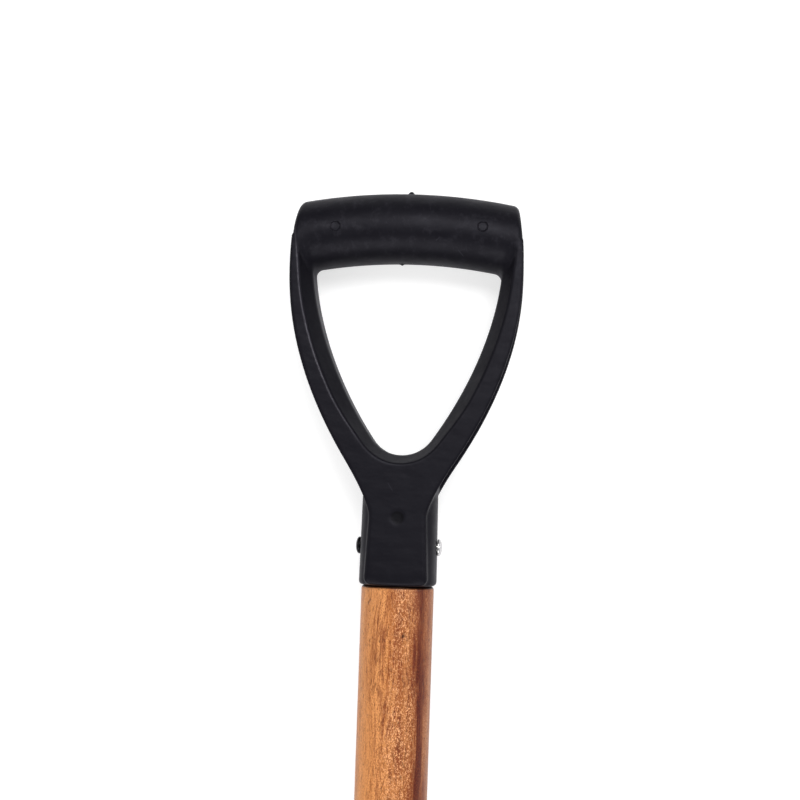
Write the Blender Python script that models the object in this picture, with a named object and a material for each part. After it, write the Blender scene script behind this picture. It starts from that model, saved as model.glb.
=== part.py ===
# Pointed shovel with a moulded D-shaped grip, lying on its back.
#
# The tool's own frame: Y runs along the shaft towards the grip, Z is the working face of the
# blade, and the grip's mouth is at Y = 0. The empty at the end lays the tool on the ground.

import math

import bmesh
import bpy
import numpy
from mathutils import Matrix, Vector

# Fits, in metres
fit_gap = 0.0003                # clearance between two touching pieces

# Shaft
shaft_diameter = 0.0360
shaft_reach = 0.4500            # bare wood between the grip and the blade's socket
shaft_edge_round = 0.0012
spigot_step = 0.00225           # shoulder that the grip's mouth stands on
spigot_chamfer = 0.0015
shaft_end_taper = 0.0060        # how much thinner the wood is at its lower end
shaft_end_stop = 0.0260         # from the lower end to the blade's shoulders
shaft_end_round = 0.0040

# Grip: socket
socket_wall = 0.0031
socket_taper = 0.0011           # how much narrower it is at the arms
socket_height = 0.0580
socket_lip = 0.0015
spigot_end_wall = 0.0020        # from the spigot's end to the socket's top
pad_width = 0.0310              # flat front and rear faces of the socket, at the mouth
pad_waist = 0.0284              # their narrowest place
pad_height = 0.0335             # of that place, where the flats begin to widen into the arms
pad_proud = 0.0003              # how far the flats stand out from the round mouth
pad_foot = 0.0004               # from the mouth to their lower edge
pad_roll = 0.0020               # height over which their faces roll over towards that edge
pad_corner_radius = 0.0035
bore_chamfer = 0.0009

# Grip: arms
grip_width = 0.1158
widest_drop = 0.0202            # widest place below the crossbar's middle
fork_width = 0.0541             # across the arms where they leave the socket
fork_rise = 0.0030              # of that place above the socket's top
fork_lean = math.radians(32.5)
arm_face_inset = 0.0001         # arms' faces inside the crossbar's front and rear
arm_crown_radius = 0.1650       # outer edge above the widest place
arm_top_inset = 0.0008          # the arms' tops draw in under the crossbar's ends
slope_width = 0.0056            # of the slope between an arm's face and the window's wall
sill_slope_width = 0.0040       # of the same slope at the bottom of the window
slope_growth = 0.0300           # height over which the one grows into the other

# Grip: window for the hand
window_sill = 0.0060            # solid plastic above the socket's top
window_bottom_radius = 0.0180
window_bottom_angle = math.radians(55.0)
window_top_width = 0.0938
window_top_lean = math.radians(6.3)
window_corner_radius = 0.0040
window_corner_turn = math.radians(75.0)

# Grip: crossbar
bar_diameter = 0.0354
bar_height = 0.1782             # middle of the crossbar above the mouth
bar_arch_radius = 0.2650
bar_end_run = 0.0060            # length at each end that takes up the arms' outline
bar_end_round = 0.0020
bar_end_inset = 0.0004          # the ends lie just inside the arms' outer edges
bar_wall = 0.0042
bar_bore_draft = 0.0012
bar_core_width = 0.0200         # solid wall between the two bores

# Grip: recess along the outer side of each arm
flange_thickness = 0.0032
web_thickness = 0.0042
recess_rim = 0.0020             # how far the cross ribs lie below the flanges' edges
recess_foot_drop = 0.0125       # foot of the recess below the socket's top
recess_wall = 0.0026            # plastic between its foot and the bore for the shaft
rib_thickness = 0.0022
rib_count = 3
recess_draft = 0.0006
recess_corner = 0.0024          # the floor's corners follow the slopes of the inner side

# Screws that hold the grip
screw_height = 0.0190
screw_head_diameter = 0.0084
screw_head_height = 0.0023
screw_shank_diameter = 0.0042
screw_length = 0.0150
screw_point_length = 0.0030
screw_slot_width = 0.0012
screw_slot_length = 0.0048
screw_slot_depth = 0.0012

# Blade
blade_length = 0.2850
blade_width = 0.2160
shoulder_inset = 0.0040         # how much narrower each shoulder is than the widest place
widest_from_shoulder = 0.0600
tip_width = 0.0030
sheet_thickness = 0.0018
dish_depth = 0.0170
blade_lift = math.radians(12.0)
lift_run = 0.0700
tip_rise = 0.0080
heel_drop = 0.0060              # back of the pan below the shaft's surface
frog_length = 0.1150
frog_foot_width = 0.0680
frog_foot_flare = 0.0070

# Blade: socket and treads
socket_length = 0.1650
socket_open_run = 0.0750        # length over which the rolled socket opens into the blade
socket_clearance = 0.0004       # between the rolled sheet and the wood
seam_gap = 0.0016
tread_rise = 0.0120
tread_bend = 0.0030
tread_inset = 0.0080            # of the tread's outer end from the blade's edge
tread_frog_inset = 0.0040       # of its inner end from the frog's foot
tread_end_slope = 0.0120

# Rivets
rivet_diameter = 0.0050
rivet_head_diameter = 0.0100
rivet_head_height = 0.0030
upper_rivet_inset = 0.0250      # from the socket's upper rim
rivet_pitch = 0.0450

# Shares that set how a curve swells between its ends
flare_pulls = (0.16, 0.62)      # from the socket's flats to the arms' feet
arm_pulls = (0.55, 0.20)        # from there to the grip's widest place
window_pulls = (0.34, 0.366)    # along the window's side, from the bottom up
corner_start_share = 0.9        # of the window corner's radius, below the crossbar
wall_share = 0.5                # of an arm's depth that the window's wall takes up
roll_share = 0.92               # of the flats' depth where their lower edge rolls over
pocket_floor_share = 0.5        # of a recess's height that its floor keeps flat
blade_side_power = 1.9          # how late the blade's sides begin to draw in
blade_point_power = 0.66        # how full they are towards the tip
blade_row_power = 1.15          # rows of the blade crowd towards the tip
dish_power = 2.2
tip_power = 3.0
frog_arch_share = 0.58          # of the rolled strip that keeps the round of the shaft
frog_foot_pull = 0.55
tread_end_share = 0.45          # height of a tread's ends against its middle

# Facets
loft_levels = (1, roll_share, wall_share, -wall_share, -roll_share, -1)
window_bottom_steps = 5
window_side_steps = 14
window_corner_steps = 4
flare_steps = 7
arm_steps = 12
crown_steps = 6
bar_sides = 36
bar_steps = 12
bore_sides = 32
socket_sides = 56
shaft_sides = 48
small_sides = 20
screw_sides = 24
edge_steps = 3
strip_columns = 12
wing_columns = 5
socket_rows = 4
opening_rows = 9
blade_row_count = 22

# Sizes that follow from those
shaft_radius = shaft_diameter / 2
shaft_end_radius = (shaft_diameter - shaft_end_taper) / 2
spigot_radius = shaft_radius - spigot_step
spigot_length = socket_height - spigot_end_wall
mouth_radius = spigot_radius + fit_gap + socket_wall
pad_half_depth = mouth_radius + pad_proud
fork_height = socket_height + fork_rise
widest_height = bar_height - widest_drop
bar_radius = bar_diameter / 2
arm_half_depth = bar_radius - arm_face_inset
bore_radius = bar_radius - bar_wall
recess_foot = socket_height - recess_foot_drop
shoulder_width = blade_width - 2 * shoulder_inset
shoulder_y = -(shaft_reach + socket_length)
heel_depth = shaft_radius + heel_drop
tread_start = frog_foot_width / 2 + tread_frog_inset
tread_end = shoulder_width / 2 - tread_inset


# Meshes

def clear_scene():
    for item in list(bpy.data.objects):
        bpy.data.objects.remove(item, do_unlink=True)


def finish_material(name, colour, roughness, metallic):
    material = bpy.data.materials.new(name)
    material.use_nodes = True
    shader = material.node_tree.nodes["Principled BSDF"]
    shader.inputs["Base Color"].default_value = (*colour, 1.0)
    shader.inputs["Roughness"].default_value = roughness
    shader.inputs["Metallic"].default_value = metallic
    return material


def place(mesh, name, material=None):
    piece = bpy.data.objects.new(name, mesh)
    bpy.context.scene.collection.objects.link(piece)
    if material:
        mesh.materials.append(material)
    return piece


def loft(name, rings, cap=True):
    """Joins rings of points, each with the same count, into a tube with filled ends."""
    shape = bmesh.new()
    rows = [[shape.verts.new(point) for point in ring] for ring in rings]
    count = len(rings[0])
    for row, after in zip(rows, rows[1:]):
        for i in range(count):
            j = (i + 1) % count
            shape.faces.new((row[i], row[j], after[j], after[i]))
    if cap:
        shape.faces.new(reversed(rows[0]))
        shape.faces.new(rows[-1])
    bmesh.ops.recalc_face_normals(shape, faces=shape.faces)
    mesh = bpy.data.meshes.new(name)
    shape.to_mesh(mesh)
    shape.free()
    return mesh


def turned(name, profile, steps, along="Y"):
    """A round piece from (radius, station) pairs along one axis."""
    rings = []
    for radius, station in profile:
        ring = []
        for k in range(steps):
            angle = 2 * math.pi * k / steps
            a, b = radius * math.cos(angle), radius * math.sin(angle)
            ring.append((station, a, b) if along == "X" else (a, station, b))
        rings.append(ring)
    return loft(name, rings)


def gather(name, meshes):
    """One mesh that holds several separate bodies."""
    shape = bmesh.new()
    for mesh in meshes:
        shape.from_mesh(mesh)
    joined = bpy.data.meshes.new(name)
    shape.to_mesh(joined)
    shape.free()
    return joined


def shade(piece, angle=math.radians(30)):
    piece.data.shade_smooth()
    piece.data.set_sharp_from_angle(angle=angle)


def cutter(mesh, name):
    tool = place(mesh, name)
    tool.hide_render = True
    tool.display_type = "WIRE"
    return tool


def combine(piece, tool, operation):
    step = piece.modifiers.new(tool.name, "BOOLEAN")
    step.operation = operation
    step.solver = "EXACT"
    step.object = tool


def bezier(start, start_pull, end_pull, end, steps):
    points = []
    for k in range(steps + 1):
        t = k / steps
        u = 1 - t
        points.append(start * u**3 + start_pull * 3 * u * u * t + end_pull * 3 * u * t * t + end * t**3)
    return points


def smooth(t):
    t = min(max(t, 0.0), 1.0)
    return t * t * (3 - 2 * t)


def width_at(outline, height):
    """Half-width of an outline that rises with every point."""
    for low, high in zip(outline, outline[1:]):
        if low.y <= height <= high.y:
            return low.x + (high.x - low.x) * (height - low.y) / (high.y - low.y)
    return outline[-1].x if height > outline[-1].y else outline[0].x


# Grip

def bar_middle(x):
    return bar_height - x * x / (2 * bar_arch_radius)


def outer_edge():
    """Right-hand outer edge of the grip, from the mouth to the top of the crossbar's end."""
    fork = Vector((fork_width / 2, fork_height))
    widest = Vector((grip_width / 2, widest_height))
    lean = Vector((math.sin(fork_lean), math.cos(fork_lean)))
    arm_run = widest_height - fork_height
    start = Vector((pad_waist / 2, pad_height))
    flare_run = fork_height - pad_height
    flare = bezier(start, start + Vector((0, flare_run * flare_pulls[0])),
                   fork - lean * flare_run * flare_pulls[1], fork, flare_steps)
    arm = bezier(fork, fork + lean * arm_run * arm_pulls[0],
                 widest - Vector((0, arm_run * arm_pulls[1])), widest, arm_steps)
    crown = []
    top = bar_height + bar_radius
    for k in range(1, crown_steps + 1):
        rise = (top - widest_height) * k / crown_steps
        crown.append(widest + Vector((-rise * rise / (2 * arm_crown_radius), rise)))
    return flare + arm[1:] + crown


def window_edge():
    """Right-hand edge of the window, from its lowest point to the start of its upper corner."""
    points = []
    bottom = socket_height + window_sill
    for k in range(window_bottom_steps + 1):
        angle = window_bottom_angle * k / window_bottom_steps
        points.append(Vector((window_bottom_radius * math.sin(angle),
                              bottom + window_bottom_radius * (1 - math.cos(angle)))))
    start = points[-1]
    top_x = window_top_width / 2
    end = Vector((top_x, bar_middle(top_x) - bar_radius - window_corner_radius * corner_start_share))
    away = Vector((math.cos(window_bottom_angle), math.sin(window_bottom_angle)))
    into = Vector((math.sin(window_top_lean), math.cos(window_top_lean)))
    run = end.y - start.y
    points += bezier(start, start + away * run * window_pulls[0],
                     end - into * run * window_pulls[1], end, window_side_steps)[1:]
    return points


def beside(points, distance):
    """The same line moved outwards, square to itself."""
    moved = []
    for k, point in enumerate(points):
        before = points[max(k - 1, 0)]
        after = points[min(k + 1, len(points) - 1)]
        run = (after - before).normalized()
        moved.append(point + Vector((run.y, -run.x)) * distance)
    moved[0].x = max(points[0].x, 0.0)
    return moved


def half_depth(height):
    """Half of the grip's thickness at a height above the mouth: the faces draw in evenly."""
    return pad_half_depth + (arm_half_depth - pad_half_depth) * height / bar_height


def pad_corner(level):
    """Rounded lower corner of the socket's flats, from their lower edge to their side."""
    foot = pad_foot + (pad_roll if abs(level) == 1 else 0.0)
    points = []
    for k in range(edge_steps + 1):
        angle = math.pi / 2 * k / edge_steps
        points.append(Vector((pad_width / 2 - pad_corner_radius * (1 - math.sin(angle)),
                              foot + pad_corner_radius * (1 - math.cos(angle)))))
    return points


def slope_at(height):
    """Width of the slope round the window, which is narrower at the sill than along the arms."""
    rise = height - socket_height - window_sill
    return sill_slope_width + (slope_width - sill_slope_width) * smooth(rise / slope_growth)


def fork_body():
    """The flat-faced fork: socket flats, both arms, and the wall and slopes round the window."""
    edge_line = outer_edge()
    arm_top = bar_middle(grip_width / 2)
    end_x = width_at(edge_line, arm_top)
    outer = [point for point in edge_line if point.y < arm_top - 2 * bar_end_round]
    outer.append(Vector((end_x - arm_top_inset, arm_top - bar_end_round)))
    outer.append(Vector((end_x - arm_top_inset - bar_end_round, arm_top)))

    # The window's upper corner turns in under the crossbar, and ends inside it. The crease
    # between the flat face and its slope runs on beside the crossbar to its end.
    inner = window_edge()
    crease = [near.lerp(far, slope_at(near.y) / slope_width)
              for near, far in zip(inner, beside(inner, slope_width))]
    corner = inner[-1]
    normal = Vector((-math.cos(window_top_lean), math.sin(window_top_lean)))
    middle = corner + normal * window_corner_radius
    low = crease[-1]
    high = Vector((end_x - arm_top_inset - 1.5 * bar_end_round, arm_top))
    turns = window_corner_steps
    for k in range(1, turns + 1):
        angle = window_corner_turn * k / turns - window_top_lean
        inner.append(middle + Vector((math.cos(angle), math.sin(angle))) * window_corner_radius)
    inner.append(Vector((inner[-1].x, arm_top - 2 * bar_end_round)))
    for k in range(1, turns + 2):
        share = k / (turns + 1)
        ease = math.sin(share * math.pi / 2)
        crease.append(Vector((low.x + (high.x - low.x) * ease, low.y + (high.y - low.y) * share)))

    # From front to rear the inner side is a slope, the window's wall and another slope.
    rings = []
    for level in loft_levels:
        share = (abs(level) - wall_share) / (1 - wall_share)
        edge = [near.lerp(far, share) for near, far in zip(inner, crease)]
        right = pad_corner(level) + outer + list(reversed(edge))
        left = [Vector((-point.x, point.y)) for point in reversed(right)]
        rings.append([(point.x, point.y, level * half_depth(point.y)) for point in right + left[1:]])
    return loft("fork", rings)


def crossbar_body():
    steps = bar_sides
    count = bar_steps
    outer = outer_edge()
    inner_end = width_at(outer, bar_height) - bar_end_run
    rings = []
    for k in range(count + 1):
        x = -inner_end + 2 * inner_end * k / count
        rings.append([(x, bar_middle(x) + bar_radius * math.sin(a), bar_radius * math.cos(a))
                      for a in (2 * math.pi * i / steps for i in range(steps))])

    # Each end follows the arms' outer edge and has a rounded rim.
    for side in (1, -1):
        closing = []
        for k in range(edge_steps + 1):
            angle = math.pi / 2 * k / edge_steps
            radius = bar_radius - bar_end_round * (1 - math.cos(angle))
            ring = []
            for i in range(steps):
                a = 2 * math.pi * i / steps
                height = bar_middle(inner_end + bar_end_run) + radius * math.sin(a)
                x = width_at(outer, height) - bar_end_inset - bar_end_round * (1 - math.sin(angle))
                ring.append((side * x, height, radius * math.cos(a)))
            closing.append(ring)
        rings = rings + closing if side > 0 else list(reversed(closing)) + rings
    return loft("crossbar", rings)


def socket_radius(height):
    """Outside of the round socket, which narrows evenly from its lip to the arms."""
    return mouth_radius - socket_taper * (height - socket_lip) / (socket_height - socket_lip)


def socket_body():
    profile = []
    for k in range(edge_steps + 1):
        angle = math.pi / 2 * k / edge_steps
        radius = mouth_radius - socket_lip * (1 - math.sin(angle))
        profile.append((radius, socket_lip * (1 - math.cos(angle))))
    profile.append((socket_radius(socket_height), socket_height))
    return turned("socket", profile, socket_sides)


def shaft_bore():
    radius = spigot_radius + fit_gap
    depth = spigot_length + fit_gap
    profile = [(radius + 2 * bore_chamfer, -bore_chamfer), (radius, bore_chamfer), (radius, depth)]
    return turned("shaft_bore", profile, shaft_sides)


def bar_bore(side):
    """A drafted bore that follows the crossbar's arch from one end to the solid middle wall."""
    rings = []
    end = grip_width / 2 + bar_wall
    for x, radius in ((bar_core_width / 2, bore_radius - bar_bore_draft / 2), (end, bore_radius)):
        middle = bar_middle(x)
        rings.append([(side * x, middle + radius * math.sin(a), radius * math.cos(a))
                      for a in (2 * math.pi * i / bore_sides for i in range(bore_sides))])
    return loft("bar_bore", rings)


def recess_stations(low, high, steps):
    return [low + (high - low) * k / steps for k in range(steps + 1)]


def arm_pocket(side, low, high, depth_of, steps):
    """One recess in an arm's outer side, between two heights, as deep as depth_of says."""
    outer = outer_edge()
    rings = []
    for height in recess_stations(low, high, steps):
        inner_x = depth_of(height)
        outer_x = width_at(outer, height) + flange_thickness
        lip = half_depth(height) - flange_thickness
        floor = lip - recess_draft
        corner_x = min(inner_x + recess_corner, (inner_x + outer_x) / 2)
        flat = floor * pocket_floor_share
        section = [(inner_x, -flat), (corner_x, -floor), (outer_x, -lip),
                   (outer_x, lip), (corner_x, floor), (inner_x, flat)]
        rings.append([(side * x, height, z) for x, z in section])
    return loft("arm_pocket", rings)


def recess_cutters():
    """The open channel along each arm's outer side, and the deeper pockets between its ribs."""
    outer = outer_edge()
    socket_side = spigot_radius + fit_gap + recess_wall
    web = [point for point in beside(window_edge(), web_thickness) if point.x > spigot_radius]
    top = bar_middle(grip_width / 2) - bar_radius - rib_thickness / 2
    pitch = (top - recess_foot + rib_thickness) / (rib_count + 1)

    def web_x(height):
        return max(width_at(web, height), socket_side)

    def rim_x(height):
        return max(width_at(outer, height) - recess_rim, socket_side)

    rims = [arm_pocket(side, recess_foot, top, rim_x, 16) for side in (1, -1)]
    pockets = []
    for side in (1, -1):
        for k in range(rib_count + 1):
            low = recess_foot + pitch * k
            high = low + pitch - rib_thickness
            pockets.append(arm_pocket(side, low + fit_gap, high - fit_gap, web_x, 5))
    return gather("rims", rims), gather("pockets", pockets)


def screw_holes(start, end):
    """Two round holes along X for the grip's screws, one at each side."""
    radius = screw_shank_diameter / 2 + fit_gap
    holes = [turned("hole", [(radius, side * start), (radius, side * end)], small_sides, "X")
             for side in (1, -1)]
    holes = gather("screw_holes", holes)
    holes.transform(Matrix.Translation((0, screw_height, 0)))
    return holes


def make_grip(material):
    grip = place(fork_body(), "grip", material)
    for mesh in (crossbar_body(), socket_body()):
        combine(grip, cutter(mesh, "add_" + mesh.name), "UNION")
    rims, pockets = recess_cutters()
    bores = gather("bar_bores", [bar_bore(1), bar_bore(-1)])
    holes = screw_holes(spigot_radius / 2, 2 * mouth_radius)
    cuts = {"shaft_bore": shaft_bore(), "bar_bores": bores, "rims": rims, "pockets": pockets,
            "grip_screw_holes": holes}
    for name, mesh in cuts.items():
        combine(grip, cutter(mesh, "cut_" + name), "DIFFERENCE")
    shade(grip)
    return grip


# Shaft

def shaft_taper(y):
    """Radius of the wood at a place along the tool: straight, then tapered inside the socket."""
    run = socket_length - shaft_end_stop
    into = min(max(-y - shaft_reach, 0.0), run)
    return shaft_radius + (shaft_end_radius - shaft_radius) * into / run


def make_shaft(material):
    top = -fit_gap
    foot = shoulder_y + shaft_end_stop
    profile = [(spigot_radius - spigot_chamfer, spigot_length),
               (spigot_radius, spigot_length - spigot_chamfer), (spigot_radius, top)]
    for k in range(edge_steps + 1):
        angle = math.pi / 2 * k / edge_steps
        profile.append((shaft_radius - shaft_edge_round * (1 - math.sin(angle)),
                        top - shaft_edge_round * (1 - math.cos(angle))))
    plain = profile[-1][1]
    for k in range(1, 6):
        profile.append((shaft_radius, plain - (plain + shaft_reach) * k / 5))
    for k in range(1, 4):
        y = -shaft_reach + (foot + shaft_end_round + shaft_reach) * k / 4
        profile.append((shaft_taper(y), y))
    for k in range(3):
        angle = math.pi / 4 * k
        profile.append((shaft_end_radius - shaft_end_round * (1 - math.cos(angle)),
                        foot + shaft_end_round * (1 - math.sin(angle))))
    shaft = place(turned("shaft", profile, shaft_sides), "shaft", material)
    pilots = screw_holes(socket_radius(screw_height) - screw_length, 2 * spigot_radius)
    combine(shaft, cutter(pilots, "cut_shaft_pilot_holes"), "DIFFERENCE")
    combine(shaft, cutter(rivet_bores(), "cut_shaft_rivet_bores"), "DIFFERENCE")
    shade(shaft)
    return shaft


# Fasteners

def make_screw(name, side, material):
    """Pan-head screw with a cross recess. It points along its own -X and sits at the socket's side."""
    head = screw_head_diameter / 2
    shank = screw_shank_diameter / 2
    profile = [(head * 0.10, screw_head_height), (head * 0.55, screw_head_height * 0.93),
               (head * 0.85, screw_head_height * 0.68), (head, screw_head_height * 0.30), (head, 0.0),
               (shank, 0.0), (shank, screw_point_length - screw_length), (shank * 0.12, -screw_length)]
    screw = place(turned(name, profile, screw_sides, "X"), name, material)
    for turn in (0, 1):
        slot = bmesh.new()
        bmesh.ops.create_cube(slot, size=1.0)
        across = (screw_slot_width, screw_slot_length) if turn else (screw_slot_length, screw_slot_width)
        deep = screw_slot_depth * 2
        bmesh.ops.scale(slot, vec=(deep, *across), verts=slot.verts)
        mesh = bpy.data.meshes.new("slot")
        slot.to_mesh(mesh)
        slot.free()
        tool = cutter(mesh, "cut_%s_slot_%d" % (name, turn + 1))
        tool.location.x = screw_head_height
        tool.parent = screw
        combine(screw, tool, "DIFFERENCE")
    screw.location = (side * (socket_radius(screw_height) + fit_gap), screw_height, 0)
    screw.rotation_euler.z = 0.0 if side > 0 else math.pi
    shade(screw)
    return screw


def rivet_places():
    first = -shaft_reach - upper_rivet_inset
    return [first, first - rivet_pitch]


def rivet_bores():
    """Round holes along X, right through the wood and the rolled sheet."""
    radius = rivet_diameter / 2 + fit_gap
    bores = []
    for y in rivet_places():
        bore = turned("rivet_bore", [(radius, -shaft_diameter), (radius, shaft_diameter)], small_sides, "X")
        bore.transform(Matrix.Translation((0, y, 0)))
        bores.append(bore)
    return gather("rivet_bores", bores)


def make_rivet(name, y, material):
    """A through rivet with a domed head at each side of the blade's socket."""
    reach = shaft_taper(y) + socket_clearance + sheet_thickness + fit_gap
    shank = rivet_diameter / 2
    head = rivet_head_diameter / 2
    half = [(shank, reach), (head, reach)]
    for k in range(1, 5):
        angle = math.pi / 2 * k / 4
        half.append((max(head * math.cos(angle), head * 0.08), reach + rivet_head_height * math.sin(angle)))
    profile = [(radius, -station) for radius, station in reversed(half)] + half
    rivet = place(turned(name, profile, small_sides, "X"), name, material)
    rivet.location.y = y
    shade(rivet)
    return rivet


# Blade, in its own frame: the shoulders are at Y = 0 and the tip points along -Y.

def half_width(s):
    """Half of the blade's width at a distance s from the shoulders."""
    if s < widest_from_shoulder:
        share = 1 - s / widest_from_shoulder
        return (blade_width - (blade_width - shoulder_width) * share * share) / 2
    u = (s - widest_from_shoulder) / (blade_length - widest_from_shoulder)
    return max(blade_width / 2 * (1 - u**blade_side_power) ** blade_point_power, tip_width / 2)


def pan_height(x, s):
    """Back of the dished pan, above the shaft's axis."""
    s = max(s, 0.0)
    slope = math.tan(blade_lift)
    rise = slope * s * s / (2 * lift_run) if s < lift_run else slope * (s - lift_run / 2)
    tip = tip_rise * (s / blade_length) ** tip_power
    dish = dish_depth * (abs(x) / (blade_width / 2)) ** dish_power
    return -heel_depth + rise + tip + dish


def strip_point(j, columns, s):
    """Column j of the middle strip: a rolled tube above the shoulders, the frog below them."""
    share = abs(j) / columns
    side = 1 if j >= 0 else -1
    bore = shaft_taper(shoulder_y - min(s, -shaft_end_stop)) + socket_clearance
    seam = math.asin(seam_gap / 2 / bore)
    angle = (math.pi - seam) * share
    tube = Vector((bore * math.sin(angle), bore * math.cos(angle)))

    foot_x = frog_foot_width / 2
    foot = Vector((foot_x, pan_height(foot_x, 0)))
    if share <= frog_arch_share:
        angle = math.pi / 2 * share / frog_arch_share
        hat = Vector((bore * math.sin(angle), bore * math.cos(angle)))
    else:
        t = (share - frog_arch_share) / (1 - frog_arch_share)
        u = 1 - t
        top = Vector((bore, 0))
        pull = foot.y * frog_foot_pull
        hat = (top * u**3 + (top + Vector((0, pull))) * 3 * u * u * t
               + (foot - Vector((frog_foot_flare, 0))) * 3 * u * t * t + foot * t**3)
    if s <= 0:
        mix = smooth((s + socket_open_run) / socket_open_run)
        point = tube.lerp(hat, mix)
        return Vector((side * point.x, -s, point.y))
    rise = hat.y - pan_height(hat.x, 0)
    x = hat.x * half_width(s) / half_width(0)
    z = pan_height(x, s) + rise * (1 - smooth(s / frog_length))
    return Vector((side * x, -s, z))


def blade_rows():
    closed = socket_length - socket_open_run
    above = [-socket_length + closed * k / socket_rows for k in range(socket_rows)]
    above += [-socket_open_run * (1 - k / opening_rows) for k in range(opening_rows)]
    below = []
    for k in range(blade_row_count + 1):
        share = math.sin(math.pi / 2 * k / blade_row_count)
        below.append(blade_length * share**blade_row_power)
    return above, below


def make_blade(material):
    columns = strip_columns
    above, below = blade_rows()
    shape = bmesh.new()
    strip = []
    for s in above + below:
        strip.append([shape.verts.new(strip_point(j, columns, s)) for j in range(-columns, columns + 1)])
    for row, after in zip(strip, strip[1:]):
        for j in range(2 * columns):
            shape.faces.new((row[j], after[j], after[j + 1], row[j + 1]))

    inner = frog_foot_width / 2
    outer = shoulder_width / 2
    marks = [inner, tread_start]
    marks += [tread_start + (tread_end - tread_start) * k / wing_columns for k in range(1, wing_columns + 1)]
    marks.append(outer)
    for side in (1, -1):
        edge = 2 * columns if side > 0 else 0
        rows = []
        for i, s in enumerate(below):
            scale = half_width(s) / half_width(0)
            row = [strip[len(above) + i][edge]]
            for mark in marks[1:]:
                x = mark * scale
                row.append(shape.verts.new((side * x, -s, pan_height(x, s))))
            rows.append(row)
        for row, after in zip(rows, rows[1:]):
            for k in range(len(marks) - 1):
                corners = (row[k], row[k + 1], after[k + 1], after[k])
                shape.faces.new(reversed(corners) if side > 0 else corners)

        # The tread is the shoulder's edge turned towards the working face.
        flanged = range(1, len(marks) - 1)
        last = [rows[0][k] for k in flanged]
        for step in range(1, edge_steps + 2):
            row = []
            for k in flanged:
                x = marks[k]
                base = pan_height(x, 0)
                if step <= edge_steps:
                    angle = math.pi / 2 * step / edge_steps
                    y = tread_bend * math.sin(angle)
                    z = tread_bend * (1 - math.cos(angle))
                else:
                    ends = min(x - tread_start, tread_end - x) / tread_end_slope
                    y = tread_bend
                    height = tread_end_share + (1 - tread_end_share) * smooth(ends)
                    z = tread_bend + (tread_rise - tread_bend) * height
                row.append(shape.verts.new((side * x, y, base + z)))
            for k in range(len(flanged) - 1):
                corners = (row[k], row[k + 1], last[k + 1], last[k])
                shape.faces.new(reversed(corners) if side > 0 else corners)
            last = row

    mesh = bpy.data.meshes.new("blade")
    shape.normal_update()
    shape.to_mesh(mesh)
    shape.free()
    blade = place(mesh, "blade", material)
    blade.location.y = shoulder_y
    sheet = blade.modifiers.new("sheet", "SOLIDIFY")
    sheet.thickness = sheet_thickness
    sheet.offset = 1.0
    sheet.use_even_offset = True
    combine(blade, cutter(rivet_bores(), "cut_socket_rivet_holes"), "DIFFERENCE")
    shade(blade)
    return blade


# Rest

def world_points(pieces):
    graph = bpy.context.evaluated_depsgraph_get()
    groups = []
    for piece in pieces:
        shape = piece.evaluated_get(graph)
        mesh = shape.to_mesh()
        flat = numpy.empty(len(mesh.vertices) * 3)
        mesh.vertices.foreach_get("co", flat)
        turn = numpy.array(piece.matrix_world)
        groups.append(flat.reshape(-1, 3) @ turn[:3, :3].T + turn[:3, 3])
        shape.to_mesh_clear()
    return groups


def lay_down(pieces):
    """Tips the tool until the crossbar and the blade's heel both touch the ground."""
    bpy.context.view_layer.update()
    groups = world_points(pieces)
    grip_points = groups[0]
    others = numpy.concatenate(groups[1:])

    def lowest(points, tilt):
        return (points[:, 1] * math.sin(tilt) + points[:, 2] * math.cos(tilt)).min()

    low, high = math.radians(-10), math.radians(10)
    for _ in range(50):
        tilt = (low + high) / 2
        if lowest(grip_points, tilt) > lowest(others, tilt):
            high = tilt
        else:
            low = tilt
    everything = numpy.concatenate(groups)
    along = everything[:, 1] * math.cos(tilt) - everything[:, 2] * math.sin(tilt)
    rest = bpy.data.objects.new("lying_pose", None)
    bpy.context.scene.collection.objects.link(rest)
    rest.rotation_euler.x = tilt
    rest.location = (0, -(along.min() + along.max()) / 2, -lowest(everything, tilt))
    for item in bpy.data.objects:
        if item is not rest and item.parent is None:
            item.parent = rest
    bpy.context.view_layer.update()


def main():
    clear_scene()
    plastic = finish_material("black_plastic", (0.020, 0.020, 0.024), 0.38, 0.0)
    acacia = finish_material("varnished_acacia", (0.42, 0.17, 0.05), 0.30, 0.0)
    plated = finish_material("plated_steel", (0.62, 0.62, 0.60), 0.28, 1.0)
    coated = finish_material("coated_steel", (0.035, 0.036, 0.038), 0.45, 0.3)
    bright = finish_material("rivet_steel", (0.50, 0.50, 0.49), 0.35, 1.0)
    pieces = [make_grip(plastic), make_shaft(acacia), make_blade(coated)]
    pieces.append(make_screw("grip_screw_right", 1, plated))
    pieces.append(make_screw("grip_screw_left", -1, plated))
    upper, lower = rivet_places()
    pieces.append(make_rivet("socket_rivet_upper", upper, bright))
    pieces.append(make_rivet("socket_rivet_lower", lower, bright))
    lay_down(pieces)


main()
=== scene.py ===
# Pointed shovel with a moulded D-shaped hand grip, lying on its back on a pale floor.
# Sizes are metres. The tool's own frame has its origin at the grip's mouth, Y up the shaft
# towards the grip and Z out of the working face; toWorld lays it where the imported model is.

import math

import bmesh
import bpy
import numpy as np
from mathutils import Matrix, Vector


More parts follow.
